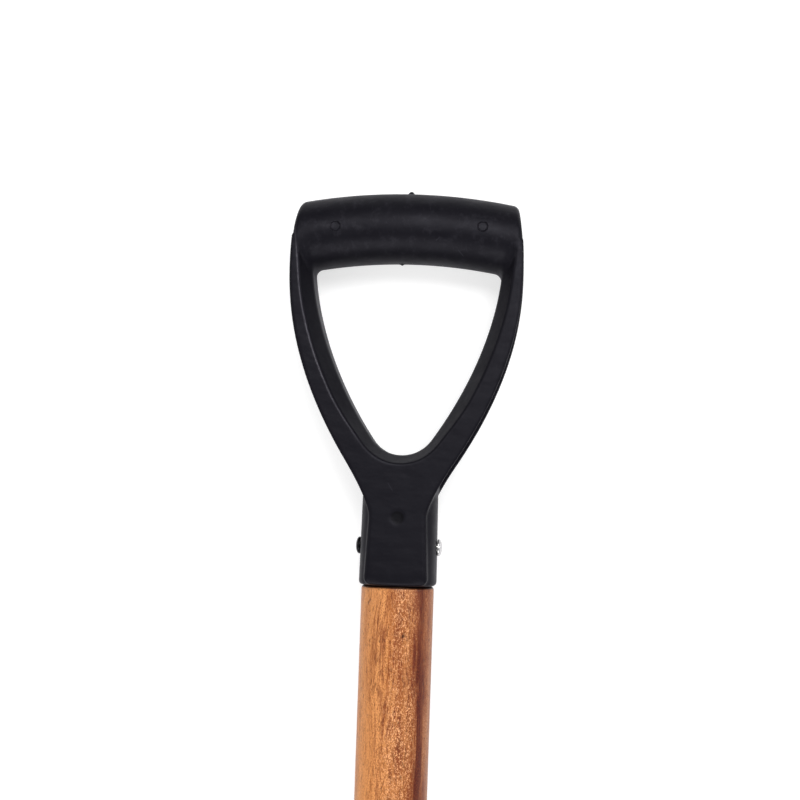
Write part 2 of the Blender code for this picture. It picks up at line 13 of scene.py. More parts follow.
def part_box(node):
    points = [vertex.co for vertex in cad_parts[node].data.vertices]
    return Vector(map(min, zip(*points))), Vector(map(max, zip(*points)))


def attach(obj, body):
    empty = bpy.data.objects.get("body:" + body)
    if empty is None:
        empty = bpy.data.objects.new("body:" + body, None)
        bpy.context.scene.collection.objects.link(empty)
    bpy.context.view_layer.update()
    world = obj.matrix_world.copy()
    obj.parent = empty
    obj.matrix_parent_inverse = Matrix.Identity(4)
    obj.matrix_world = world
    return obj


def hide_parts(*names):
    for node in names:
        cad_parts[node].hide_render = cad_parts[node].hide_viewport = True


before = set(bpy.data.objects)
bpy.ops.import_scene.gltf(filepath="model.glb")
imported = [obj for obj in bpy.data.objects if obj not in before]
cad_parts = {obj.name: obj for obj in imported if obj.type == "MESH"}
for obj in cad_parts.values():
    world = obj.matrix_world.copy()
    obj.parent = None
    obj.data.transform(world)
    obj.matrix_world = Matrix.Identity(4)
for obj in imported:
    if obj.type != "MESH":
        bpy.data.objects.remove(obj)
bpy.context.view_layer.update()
print("frame loaded:", ", ".join(sorted(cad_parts)))


# The tool's own frame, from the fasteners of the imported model

def middleOf(*nodes):
    corners = [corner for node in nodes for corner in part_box(node)]
    return sum(corners, Vector()) / len(corners)


def placement(origin, *axes):
    return Matrix.Translation(origin) @ Matrix(axes).transposed().to_4x4()


screwHeight = 0.0190  # screws above the grip's mouth
screwMiddle = middleOf("grip_screw_left", "grip_screw_right")
rivetMiddle = middleOf("socket_rivet_lower")
alongShaft = (screwMiddle - rivetMiddle).normalized()
outOfFace = Vector((1, 0, 0)).cross(alongShaft)
mouthPoint = screwMiddle - alongShaft * screwHeight
toWorld = placement(mouthPoint, Vector((1, 0, 0)), alongShaft, outOfFace)
toTool = toWorld.inverted()


# Camera

cameraView = {
    "distance": 0.850,
    "lens": 76.36,
    "sensor": 36.0,
    "clipStart": 0.01,
    "aimHeight": 0.0921,  # above the grip's mouth
    "aimAside": 0.0020,
    "swing": math.radians(4.25),  # to the right of straight above the face
    "lean": math.radians(-3.54),  # towards the blade
    "roll": math.radians(1.94),
}


def makeCamera(view):
    aim = toWorld @ Vector((0, view["aimHeight"], 0))
    turn = toWorld.to_3x3()
    away = turn @ Vector((math.sin(view["swing"]) * math.cos(view["lean"]), math.sin(view["lean"]),
                          math.cos(view["swing"]) * math.cos(view["lean"])))
    right = (-away).cross(turn @ Vector((0, 1, 0))).normalized()
    up = right.cross(-away)
    spin = Matrix.Rotation(view["roll"], 3, away)
    right = spin @ right
    place = aim + away * view["distance"] - right * view["aimAside"]
    camera = bpy.data.objects.new("camera", bpy.data.cameras.new("camera"))
    camera.data.lens = view["lens"]
    camera.data.sensor_width = view["sensor"]
    camera.data.sensor_fit = "HORIZONTAL"
    camera.data.clip_start = view["clipStart"]
    camera.matrix_world = placement(place, right, spin @ up, away)
    bpy.context.scene.collection.objects.link(camera)
    bpy.context.scene.camera = camera


makeCamera(cameraView)
print("camera set")


# Node helpers

class Wire:
    # A node's output, to count with like a number

    def __init__(self, socket):
        self.socket = socket
        self.tree = socket.id_data

    def count(self, operation, *others):
        return wire(self.tree, "ShaderNodeMath", dict(enumerate((self, *others))), operation=operation)

    def __add__(self, other):
        return self.count("ADD", other)

    def __sub__(self, other):
        return self.count("SUBTRACT", other)

    def __rsub__(self, other):
        return wire(self.tree, "ShaderNodeMath", {0: other, 1: self}, operation="SUBTRACT")

    def __mul__(self, other):
        return self.count("MULTIPLY", other)

    def __abs__(self):
        return self.count("ABSOLUTE")

    def most(self, other):
        return self.count("MAXIMUM", other)


def feed(node, values):
    # An input takes another node's output as a link, and anything else as its value
    for key, value in values.items():
        value = getattr(value, "socket", value)
        if hasattr(value, "is_output"):
            node.id_data.links.new(value, node.inputs[key])
        else:
            node.inputs[key].default_value = value
    return node


def addNode(tree, kind, values={}, **settings):
    node = tree.nodes.new(kind)
    for key, value in settings.items():
        setattr(node, key, value)
    return feed(node, values)


def wire(tree, kind, values={}, output=0, **settings):
    return Wire(addNode(tree, kind, values, **settings).outputs[output])


def spread(value, low, high, toLow=0.0, toHigh=1.0):
    limits = {"Value": value, "From Min": low, "From Max": high, "To Min": toLow, "To Max": toHigh}
    return wire(value.tree, "ShaderNodeMapRange", limits, "Result", interpolation_type="SMOOTHSTEP")


def blendColour(share, a, b):
    return wire(share.tree, "ShaderNodeMix", {0: share, 6: a, 7: b}, 2, data_type="RGBA")


def noiseOn(vector, scale, detail=2.0, roughness=0.5, distortion=0.0):
    return wire(vector.tree, "ShaderNodeTexNoise", {"Vector": vector, "Scale": scale, "Detail": detail,
                                                    "Roughness": roughness, "Distortion": distortion})


def stretched(vector, scale, location=(0, 0, 0)):
    return wire(vector.tree, "ShaderNodeMapping", {"Vector": vector, "Scale": scale, "Location": location})


def noisesOn(vector, rows):
    return {name: noiseOn(stretched(vector, stretch) if stretch else vector, *rest)
            for name, (stretch, *rest) in rows.items()}


def axesOf(vector):
    return [Wire(output) for output in addNode(vector.tree, "ShaderNodeSeparateXYZ", {0: vector}).outputs]


def measure(operation, vector, other=(0, 0, 0)):
    return wire(vector.tree, "ShaderNodeVectorMath", {0: vector, 1: other}, "Value", operation=operation)


def shareOf(fields, *parts):
    # The product of some fields, each of them spread where limits are given
    shares = [spread(fields[name], *limits) if limits else fields[name] for name, *limits in parts]
    product = shares[0]
    for share in shares[1:]:
        product = product * share
    return product


def newMaterial(name):
    material = bpy.data.materials.new(name)
    material.use_nodes = True
    shader = material.node_tree.nodes["Principled BSDF"]
    place = wire(material.node_tree, "ShaderNodeTexCoord", output="Object")
    return material, shader, place


def finishLook(look, shader, fields, values):
    colour = look["colour"]
    for name, *parts in look["layers"]:
        colour = blendColour(shareOf(fields, *parts), colour, look[name])
    below = {}
    for name, strength, distance in look["bumps"]:
        bump = {"Height": fields[name], "Strength": strength, "Distance": distance}
        below = {"Normal": wire(shader.id_data, "ShaderNodeBump", {**bump, **below}, "Normal")}
    feed(shader, {"Base Color": colour, **below, **look["values"], **values})


# Materials. A noise is a stretch or None, then scale, detail, roughness and distortion. Layers lie
# over the first colour: each is a colour and the fields it follows. A bump is a field, a strength
# and a distance. Limits are from a low to a high value, and from one share to another.

plasticLook = {
    "colour": (0.0034, 0.0032, 0.0050, 1.0),
    "dusty": (0.0095, 0.0090, 0.0120, 1.0),
    "rubbed": (0.0200, 0.0190, 0.0240, 1.0),
    "sunk": (0.0004, 0.0004, 0.0005, 1.0),
    "burnished": (0.0230, 0.0220, 0.0265, 1.0),
    "layers": (
        ("dusty", ("dust", 0.55, 0.80, 0.0, 0.5)),
        ("rubbed", ("scuffs",)),
        ("sunk", ("fromDisc", 0.002805, 0.003465, 0.9, 0.0)),
        # a painted highlight along the arms' crease, lighter on the left arm
        ("burnished", ("burnish",)),
    ),
    "noises": {
        "patches": (None, 55.0, 4.0, 0.6),
        "dust": (None, 210.0, 5.0, 0.7),
        "lines": ((1.0, 0.22, 0.4), 520.0, 2.0, 0.5, 1.4),
        "rubs": ((1.0, 0.8, 0.6), 230.0, 5.0, 0.7),
        "skin": (None, 2600.0, 2.0, 0.6),  # fine spark-eroded skin
        "uneven": ((1.0, 1.6, 1.0), 95.0, 2.0, 0.5),
    },
    "bumps": (("uneven", 0.35, 0.0009), ("skin", 0.22, 0.00012), ("rings", 0.9, 0.00035)),
    "values": {"Specular IOR Level": 0.13, "Specular Tint": (0.90, 0.88, 1.0, 1.0)},
    "lines": ("lines", 0.64, 0.74, 0.0, 0.5),
    "rubs": ("rubs", 0.50, 0.70, 0.0, 0.65),
    "onBar": ("y", 0.150, 0.168),
    "scuffShare": 0.6,
    "scratches": (
        # x, y, lean, half length, weight
        (0.0152, 0.1713, 0.7, 0.0016, 0.7),
        (0.0266, 0.1650, -0.8, 0.0024, 0.8),
        (-0.0040, 0.0484, -1.0, 0.0028, 0.5),
    ),
    "scratchWidth": (0.00008, 0.00032, 0.9, 0.0),
    "scratchFade": 0.6,  # the share of its length before it fades
    "creaseAside": 0.0008,
    "burnish": (
        # the crease along the arms' faces, more on the left arm: smoother there, and a painted highlight line
        # in a lighter colour, strongest on the left arm where the light catches the ridge
        ("fromCrease", 0.0001, 0.0006, 1.0, 0.0),
        ("depth", 0.0158, 0.0166),
        ("x", -0.042, -0.016, 1.0, 0.1),
    ),
    "roughness": (("patches", 0.3, 0.7, 0.41, 0.51), ("burnish", 0.0, 1.0, 1.0, 0.6)),
    "disc": (0.0, 0.0334),  # sunken round mark on the socket
    "marks": ((-0.0358, 0.1764), (0.0372, 0.1778)),  # ejector marks on the crossbar
    "markRadius": 0.0024,
    "markWidth": (0.0, 0.00045),
}


def reachFrom(place, x, y):
    # Distance from an axis that stands on the tool's front
    return measure("LENGTH", wire(x.tree, "ShaderNodeCombineXYZ", {0: x - place[0], 1: y - place[1]}))


def scratchAt(look, x, y, lean, reach):
    # A thin scratch of a given half length, leaning from the X axis
    along = x * math.cos(lean) + y * math.sin(lean)
    beside = y * math.cos(lean) - x * math.sin(lean)
    near = spread(abs(beside), *look["scratchWidth"])
    return near * spread(abs(along), reach * look["scratchFade"], reach, 1.0, 0.0)


def makePlastic(look):
    material, shader, place = newMaterial("black_moulded_plastic")
    local = stretched(place, (1, 1, 1), -mouthPoint)
    x, y, z = axesOf(local)
    crease = wire(place.tree, "ShaderNodeAttribute", output="Fac", attribute_name="crease")
    rings = [spread(abs(reachFrom(mark, x, y) - look["markRadius"]), *look["markWidth"])
             for mark in look["marks"]]
    fields = noisesOn(local, look["noises"])
    fields.update({"x": x, "y": y, "depth": abs(z), "fromDisc": reachFrom(look["disc"], x, y),
                   "fromCrease": abs(crease - look["creaseAside"]), "rings": rings[0] * rings[1]})

    # Scuffs are short thin scratches, mostly on the crossbar.
    scuffs = shareOf(fields, look["lines"]).most(shareOf(fields, look["rubs"]))
    scuffs = scuffs * shareOf(fields, look["onBar"]) * look["scuffShare"]
    for across, along, lean, reach, weight in look["scratches"]:
        scuffs = scuffs.most(scratchAt(look, x - across, y - along, lean, reach) * weight)
    fields["scuffs"] = scuffs
    # Lower roughness along the arms' crease, and a painted highlight there in a lighter colour
    fields["burnish"] = shareOf(fields, *look["burnish"])
    finishLook(look, shader, fields, {"Roughness": shareOf(fields, *look["roughness"])})
    return material


woodLook = {
    "colour": (0.680, 0.288, 0.094, 1.0),
    "brown": (0.390, 0.128, 0.032, 1.0),
    "red": (0.180, 0.036, 0.010, 1.0),
    "dark": (0.110, 0.024, 0.008, 1.0),
    "pore": (0.038, 0.009, 0.004, 1.0),
    "pale": (0.800, 0.390, 0.170, 1.0),
    "heart": (0.075, 0.009, 0.003, 1.0),
    "wine": (0.150, 0.026, 0.010, 1.0),
    "grime": (0.007, 0.005, 0.004, 1.0),
    "layers": (
        # The left-hand side is paler, the right-hand side darker and more curled and flecked.
        ("brown", ("bands", 0.40, 0.60), ("across", -0.013, -0.003, 0.22, 1.0)),
        ("red", ("across", -0.009, 0.010, 0.0, 0.52)),
        ("red", ("streaks", 0.50, 0.64, 0.0, 0.72), ("marked",)),
        ("pale", ("flecks", 0.50, 0.58), ("patches", 0.40, 0.60, 0.45, 1.0),
         ("across", -0.004, 0.004, 0.30, 1.0), ("across", 0.010, 0.015, 1.0, 0.35)),
        ("dark", ("lines", 0.54, 0.64, 0.0, 0.72), ("marked",)),
        # Wine-red streak, and beyond it a painted sheen: paler colour along the shaft's right-hand edge
        ("wine", ("fromHeart", 0.0006, 0.0042, 0.6, 0.0)),
        ("heart", ("fromHeart", 0.0002, 0.0019, 0.95, 0.0), ("patches", 0.35, 0.60, 0.35, 1.0)),
        # painted sheen along the shaft's right-hand edge
        ("pale", ("across", 0.0148, 0.0172, 0.0, 0.30)),
        ("red", ("mottle", 0.50, 0.60, 0.0, 0.62), ("marked",)),
        ("pore", ("fromKnot", 0.00055, 0.0011, 0.9, 0.0)),
        ("pore", ("pores", 0.63, 0.69, 0.0, 0.60)),
        # Painted shadow in the joint under the grip: a dark band on the wood just below the mouth
        ("grime", ("belowMouth", 0.0009, 0.0018, 0.95, 0.0)),
    ),
    "noises": {
        "wander": ((1, 0.30, 1), 40.0, 3.0, 0.5),
        "mottle": ((1, 0.55, 1), 1900.0, 2.0, 0.6),
    },
    "patchStretch": (1, 0.25, 1),
    "patchShift": (0.3, 0.1, 0.2),
    "patchNoise": (75.0, 2.0, 0.5),
    "wanderReach": (0.014, 0.0, 0.014),  # how far the grain bends aside
    "grainNoises": {
        "bands": ((1, 0.05, 1), 170.0, 3.0, 0.6, 0.4),
        "streaks": ((1, 0.06, 1), 480.0, 4.0, 0.65, 0.3),
        "flecks": ((1, 0.65, 1), 1250.0, 3.0, 0.65, 1.1),
        "lines": ((1, 0.13, 1), 1250.0, 3.0, 0.6),
        "pores": ((1, 0.24, 1), 1350.0, 2.0, 0.5),
    },
    "bumps": (("relief", 0.35, 0.00015),),
    "values": {"Specular IOR Level": 0.2, "Coat Weight": 0.08, "Coat Roughness": 0.22},
    "grainMiddle": 0.007,
    "marked": ("across", -0.013, -0.003, 0.40, 1.0),
    "heartAside": 0.0134,
    "heartEdge": ("streaks", 0.3, 0.7, -0.0011, 0.0011),
    "knot": (0.0047, -0.0240, 0.0174),  # a dark speck, in the tool's frame
    "knotEdge": ("mottle", 0.3, 0.7, -0.0006, 0.0006),
    "poreDepth": ("pores", 0.63, 0.69),
    "lineRelief": -0.5,
    "roughness": ("streaks", 0.3, 0.7, 0.34, 0.48),
}


def makeWood(look):
    material, shader, place = newMaterial("varnished_acacia")
    fields = noisesOn(place, look["noises"])
    bent = {0: fields["wander"], 1: look["wanderReach"], 2: place}
    grain = wire(place.tree, "ShaderNodeVectorMath", bent, operation="MULTIPLY_ADD")
    fields.update(noisesOn(grain, look["grainNoises"]))
    patches = stretched(place, look["patchStretch"], look["patchShift"])
    fields["patches"] = noiseOn(patches, *look["patchNoise"])
    fields["across"] = across = axesOf(grain)[0] - look["grainMiddle"]
    fields["marked"] = shareOf(fields, look["marked"])
    fields["fromHeart"] = abs(across + shareOf(fields, look["heartEdge"]) - look["heartAside"])
    fromKnot = measure("DISTANCE", place, toWorld @ Vector(look["knot"]))
    fields["fromKnot"] = fromKnot + shareOf(fields, look["knotEdge"])
    # How far below the grip's mouth, for the painted shadow in the joint
    fields["belowMouth"] = mouthPoint.dot(alongShaft) - measure("DOT_PRODUCT", place, alongShaft)
    fields["relief"] = fields["lines"] * look["lineRelief"] - shareOf(fields, look["poreDepth"])
    finishLook(look, shader, fields, {"Roughness": shareOf(fields, look["roughness"])})
    return material


screwLook = {
    "colour": (0.72, 0.72, 0.70, 1.0),
    "roughness": 0.22,
    "blackened": (0.012, 0.012, 0.013, 1.0),
    "layers": (
        ("stained", ("stain", 0.5, 0.75)),
        # The screw at the left is painted near black: painted shade, for the dark that it reflects on that
        # side.
        ("blackened", ("x", -0.001, 0.001, 1.0, 0.0)),
    ),
    "noises": {
        "stain": (None, 700.0, 4.0, 0.6),
        "scratches": ((1, 0.2, 1), 3500.0, 2.0),
    },
    "bumps": (("scratches", 0.25, 0.00005),),
    "values": {"Metallic": 1.0},
    "stainShare": 0.55,  # how bright a stain is
    "stainRange": (0.3, 0.8),
    "rougher": 0.22,
}
rivetLook = {
    **screwLook,
    "colour": (0.50, 0.50, 0.49, 1.0),
    "roughness": 0.36,
    "layers": screwLook["layers"][:1],
}


def makeSteel(name, look):
    material, shader, place = newMaterial(name)
    fields = noisesOn(place, look["noises"])
    fields["x"] = axesOf(place)[0]
    stained = tuple(value * look["stainShare"] for value in look["colour"][:3]) + (1.0,)
    rough = look["roughness"]
    roughness = spread(fields["stain"], *look["stainRange"], rough, rough + look["rougher"])
    finishLook({**look, "stained": stained}, shader, fields, {"Roughness": roughness})
    return material


bladeLook = {
    "colour": (0.016, 0.017, 0.018, 1.0),
    "dusty": (0.036, 0.035, 0.033, 1.0),
    "steel": (0.24, 0.24, 0.235, 1.0),
    "layers": (("dusty", ("cloud", 0.4, 0.75, 0.0, 0.6)), ("steel", ("bare",))),
    "noises": {
        "cloud": (None, 22.0, 5.0, 0.6),
        "speck": (None, 420.0, 4.0, 0.65),
        "streak": ((1, 0.06, 1), 260.0, 3.0, 0.6),
        "peel": (None, 620.0, 2.0, 0.5),
    },
    "bumps": (("peel", 0.30, 0.00012), ("streak", 0.12, 0.00010)),
    "values": {"Specular IOR Level": 0.32},
    "wornEdge": 0.0035,  # how far the bare steel reaches in from the rim
    "specks": ("speck", 0.25, 0.75, -0.4, 0.4),
    "clouds": ("cloud", 0.35, 0.65, 0.4, 1.2),
    "worn": (-0.0014, 0.0008, 1.0, 0.0),
    "rubbed": (("streak", 0.62, 0.78, 0.0, 0.35), ("rim", 0.060, 0.004)),
    "roughness": ("cloud", 0.3, 0.7, 0.34, 0.50),
    "bareRoughness": 0.52,
}


def makeBladeCoat(look):
    material, shader, place = newMaterial("coated_blade_steel")
    fields = noisesOn(place, look["noises"])
    fields["rim"] = rim = wire(place.tree, "ShaderNodeAttribute", output="Fac", attribute_name="rimDistance")
    ragged = shareOf(fields, look["specks"]) + shareOf(fields, look["clouds"])
    worn = spread(rim - ragged * look["wornEdge"], *look["worn"])
    fields["bare"] = bare = worn.most(shareOf(fields, *look["rubbed"]))
    roughness = shareOf(fields, look["roughness"]).most(bare * look["bareRoughness"])
    finishLook(look, shader, fields, {"Metallic": bare, "Roughness": roughness})
    return material


plastic = makePlastic(plasticLook)
acacia = makeWood(woodLook)
screwSteel = makeSteel("plated_screw_steel", screwLook)
rivetSteel = makeSteel("dull_rivet_steel", rivetLook)
bladeCoat = makeBladeCoat(bladeLook)
print("materials made")


# Mesh helpers

def linkPiece(name, mesh, material=None):
    piece = bpy.data.objects.new(name, mesh)
    bpy.context.scene.collection.objects.link(piece)
    if material:
        mesh.materials.clear()
        mesh.materials.append(material)
    return piece


def meshFrom(name, points, faces):
    mesh = bpy.data.meshes.new(name)
    mesh.from_pydata(points, [], faces)
    mesh.update()
    return mesh


def asPlainPiece(holder, name, material, smoothAngle):
    graph = bpy.context.evaluated_depsgraph_get()
    mesh = bpy.data.meshes.new_from_object(holder.evaluated_get(graph))
    mesh.name = name
    bpy.data.objects.remove(holder)
    piece = linkPiece(name, mesh, material)
    mesh.shade_smooth()
    mesh.set_sharp_from_angle(angle=smoothAngle)
    return piece


def handIn(piece, nodes):
    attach(piece, "root")
    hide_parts(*nodes)


def bezierPoint(start, startPull, endPull, end, t):
    u = 1 - t
    return start * u**3 + startPull * 3 * u * u * t + endPull * 3 * u * t * t + end * t**3


def bezierPoints(start, startPull, endPull, end, steps):
    return [bezierPoint(start, startPull, endPull, end, k / steps) for k in range(steps + 1)]


def arc(steps, turn=math.pi / 2):
    # Sine and cosine of an angle that grows from nothing to the whole turn
    return [(math.sin(turn * k / steps), math.cos(turn * k / steps)) for k in range(steps + 1)]


def easeIn(t):
    return t * t * (3 - 2 * t)


def heading(angle):
    return Vector((math.sin(angle), math.cos(angle)))


def stitch(shape, rows, turned):
    # Faces between rows of a bmesh's points
    for row, after in zip(rows, rows[1:]):
        for corners in zip(row, row[1:], after[1:], after):
            shape.faces.new(reversed(corners) if turned else corners)


def meshOf(shape, name):
    mesh = bpy.data.meshes.new(name)
    shape.normal_update()
    shape.to_mesh(mesh)
    shape.free()
    return mesh


# Grip: a moulding worked out as a distance field on a fine grid, so that its arms, crossbar
# and socket run into each other with the rounded inner corners of a real moulding.

gripSizes = {
    "cell": 0.00092,
    "rowShift": 0.4,  # of a cell, so that no row lies in the mouth's plane
    "settling": 3,  # how often the points are evened out on the surface
    "probe": 0.05,  # step of a cell over which the field's slope is measured
    "leastSlope": 0.3,
    "mouthRadius": 0.01915,
    "socketTaper": 0.0007,
    "socketSquareness": 3.0,  # 2 is round
    "socketHeight": 0.0580,
    "lipRound": 0.0018,
    "socketTopRound": 0.0010,
    "socketJoin": 0.0006,
    "padHalfWidth": 0.0155,
    "padWaist": 0.0142,  # half of the flats' narrowest width
    "padHeight": 0.0335,
    "padHalfDepth": 0.01945,
    "padStart": 0.0004,
    "padCorner": 0.0035,
    "cornerSteps": 8,
    "padDraft": math.tan(math.radians(1.5)),
    "lipBand": 0.0065,  # the flats bend inwards just above the mouth
    "lipDrop": 0.0013,
    "gripWidth": 0.1158,
    "widestHeight": 0.1580,
    "forkWidth": 0.0541,
    "forkHeight": 0.0610,
    "forkLean": math.radians(32.5),
    "flarePulls": (0.16, 0.62),  # of the outline's curves, as shares of their rise
    "armPulls": (0.55, 0.20),
    "flareSteps": 24,
    "armSteps": 48,
    "crownRadius": 0.1650,
    "crownPast": 0.0040,  # how far the outline goes on above the crossbar
    "crownSteps": 16,
    "armHalfDepth": 0.0176,
    "slopeWidth": 0.0056,
    "sillSlopeWidth": 0.0040,
    "slopeGrowth": 0.0300,
    "wallHalfDepth": 0.0088,
    "wallCorner": 0.0006,
    "windowBottom": 0.0642,
    "windowBottomRadius": 0.0180,
    "windowBottomAngle": math.radians(55.0),
    "windowBottomSteps": 16,
    "windowPulls": (0.34, 0.366),
    "windowPast": 0.045,
    "windowTopWidth": 0.0938,
    "windowTopHeight": 0.1524,
    "windowTopLean": math.radians(6.3),
    "barRadius": 0.0177,
    "barHeight": 0.1782,
    "barArchRadius": 0.2650,
    "barEndRound": 0.0022,
    "barEndInset": 0.0003,
    "barBoreRadius": 0.0135,
    "barCoreWidth": 0.0200,
    "boreRadius": 0.01605,
    "boreDepth": 0.0563,
    "boreRound": 0.0007,
    "flange": 0.0032,
    "web": 0.0042,
    "rimDepth": 0.0020,
    "recessWall": 0.0026,
    "recessFoot": 0.0455,
    "recessTop": 0.1533,
    "recessRound": 0.0006,
    "ribCount": 3,
    "ribThickness": 0.0022,
    "cornerBlend": 0.0040,  # only the window's upper corners are widely rounded
    "blendNear": 0.0015,
    "blendFar": 0.0065,
    "edgeRound": 0.0008,
    "padEdgeRound": 0.0010,  # more of it along the socket's flats
    "padFade": (0.042, 0.032),  # where the flats' draft and rounding begin, going down
    "creaseRound": 0.0005,
    "mouthRound": 0.0011,  # edges of the recesses and of the bar's bores
    "screwHoleRadius": 0.0024,
    "dimpleRadius": 0.0033,
    "dimpleHeight": 0.0334,
    "dimpleDepth": 0.00035,
    "gates": ((0.0004, 1, 0.0015), (-0.0032, -1, 0.0009)),  # aside, above or below, radius
    "gateJoin": 0.0008,
}


def gripOutline(s):
    fork = Vector((s["forkWidth"] / 2, s["forkHeight"]))
    widest = Vector((s["gripWidth"] / 2, s["widestHeight"]))
    lean = heading(s["forkLean"])
    armRun = s["widestHeight"] - s["forkHeight"]
    flareRun = s["forkHeight"] - s["padHeight"]
    corner = s["padCorner"]
    points = [Vector((s["padHalfWidth"] - corner * (1 - sine), s["padStart"] + corner * (1 - cosine)))
              for sine, cosine in arc(s["cornerSteps"])]
    start = Vector((s["padWaist"], s["padHeight"]))
    low, high = s["flarePulls"]
    points += bezierPoints(start, start + Vector((0, flareRun * low)), fork - lean * flareRun * high, fork,
                           s["flareSteps"])
    low, high = s["armPulls"]
    points += bezierPoints(fork, fork + lean * armRun * low, widest - Vector((0, armRun * high)), widest,
                           s["armSteps"])[1:]
    top = s["barHeight"] + s["barRadius"] + s["crownPast"]
    for k in range(1, s["crownSteps"] + 1):
        rise = (top - s["widestHeight"]) * k / s["crownSteps"]
        points.append(widest + Vector((-rise * rise / (2 * s["crownRadius"]), rise)))
    return points


def windowOutline(s):
    radius, angle = s["windowBottomRadius"], s["windowBottomAngle"]
    points = [Vector((radius * sine, s["windowBottom"] + radius * (1 - cosine)))
              for sine, cosine in arc(s["windowBottomSteps"], angle)]
    start = points[-1]
    end = Vector((s["windowTopWidth"] / 2, s["windowTopHeight"]))
    away = Vector((math.cos(angle), math.sin(angle)))
    into = heading(s["windowTopLean"])
    run = end.y - start.y
    low, high = s["windowPulls"]
    points += bezierPoints(start, start + away * run * low, end - into * run * high, end, s["armSteps"])[1:]
    points.append(end + into * s["windowPast"])
    return points


def outlineDistance(half, gridX, gridY):
    # Signed distance to the outline and its mirror image: negative inside
    ring = [(point.x, point.y) for point in half] + [(-point.x, point.y) for point in reversed(half)]
    ring = np.array(ring)
    after = np.roll(ring, -1, axis=0)
    best = np.full(gridX.shape, 1e9)
    inside = np.zeros(gridX.shape, bool)
    for (ax, ay), (bx, by) in zip(ring, after):
        ex, ey = bx - ax, by - ay
        size = ex * ex + ey * ey
        if size < 1e-16:
            continue
        t = np.clip(((gridX - ax) * ex + (gridY - ay) * ey) / size, 0, 1)
        best = np.minimum(best, (gridX - ax - t * ex) ** 2 + (gridY - ay - t * ey) ** 2)
        if ay != by:
            inside ^= ((ay > gridY) != (by > gridY)) & (gridX < ax + (gridY - ay) * ex / ey)
    return np.where(inside, -1, 1) * np.sqrt(best)


def roundMax(a, b, radius):
    far = np.hypot(np.maximum(a + radius, 0), np.maximum(b + radius, 0)) - radius
    return np.where((a > -radius) & (b > -radius), far, np.maximum(a, b))


def roundMin(a, b, radius):
    return -roundMax(-a, -b, radius)


def halfDepthAt(s, y):
    return s["padHalfDepth"] + (s["armHalfDepth"] - s["padHalfDepth"]) * y / s["barHeight"]


def slopeAcross(s, y):
    # How far the slope reaches in from the window, less at the sill than on the arms
    rise = np.clip((y - s["windowBottom"]) / s["slopeGrowth"], 0, 1)
    return s["sillSlopeWidth"] + (s["slopeWidth"] - s["sillSlopeWidth"]) * easeIn(rise)


def pastCrease(s, points):
    # How far each point lies outside the crease between the slope and the face
    window = outlineDistance(windowOutline(s), points[:, :1], points[:, 1:2])[:, 0]
    steep = (halfDepthAt(s, points[:, 1]) - s["wallHalfDepth"]) / (s["armHalfDepth"] - s["wallHalfDepth"])
    return window - slopeAcross(s, points[:, 1]) * steep


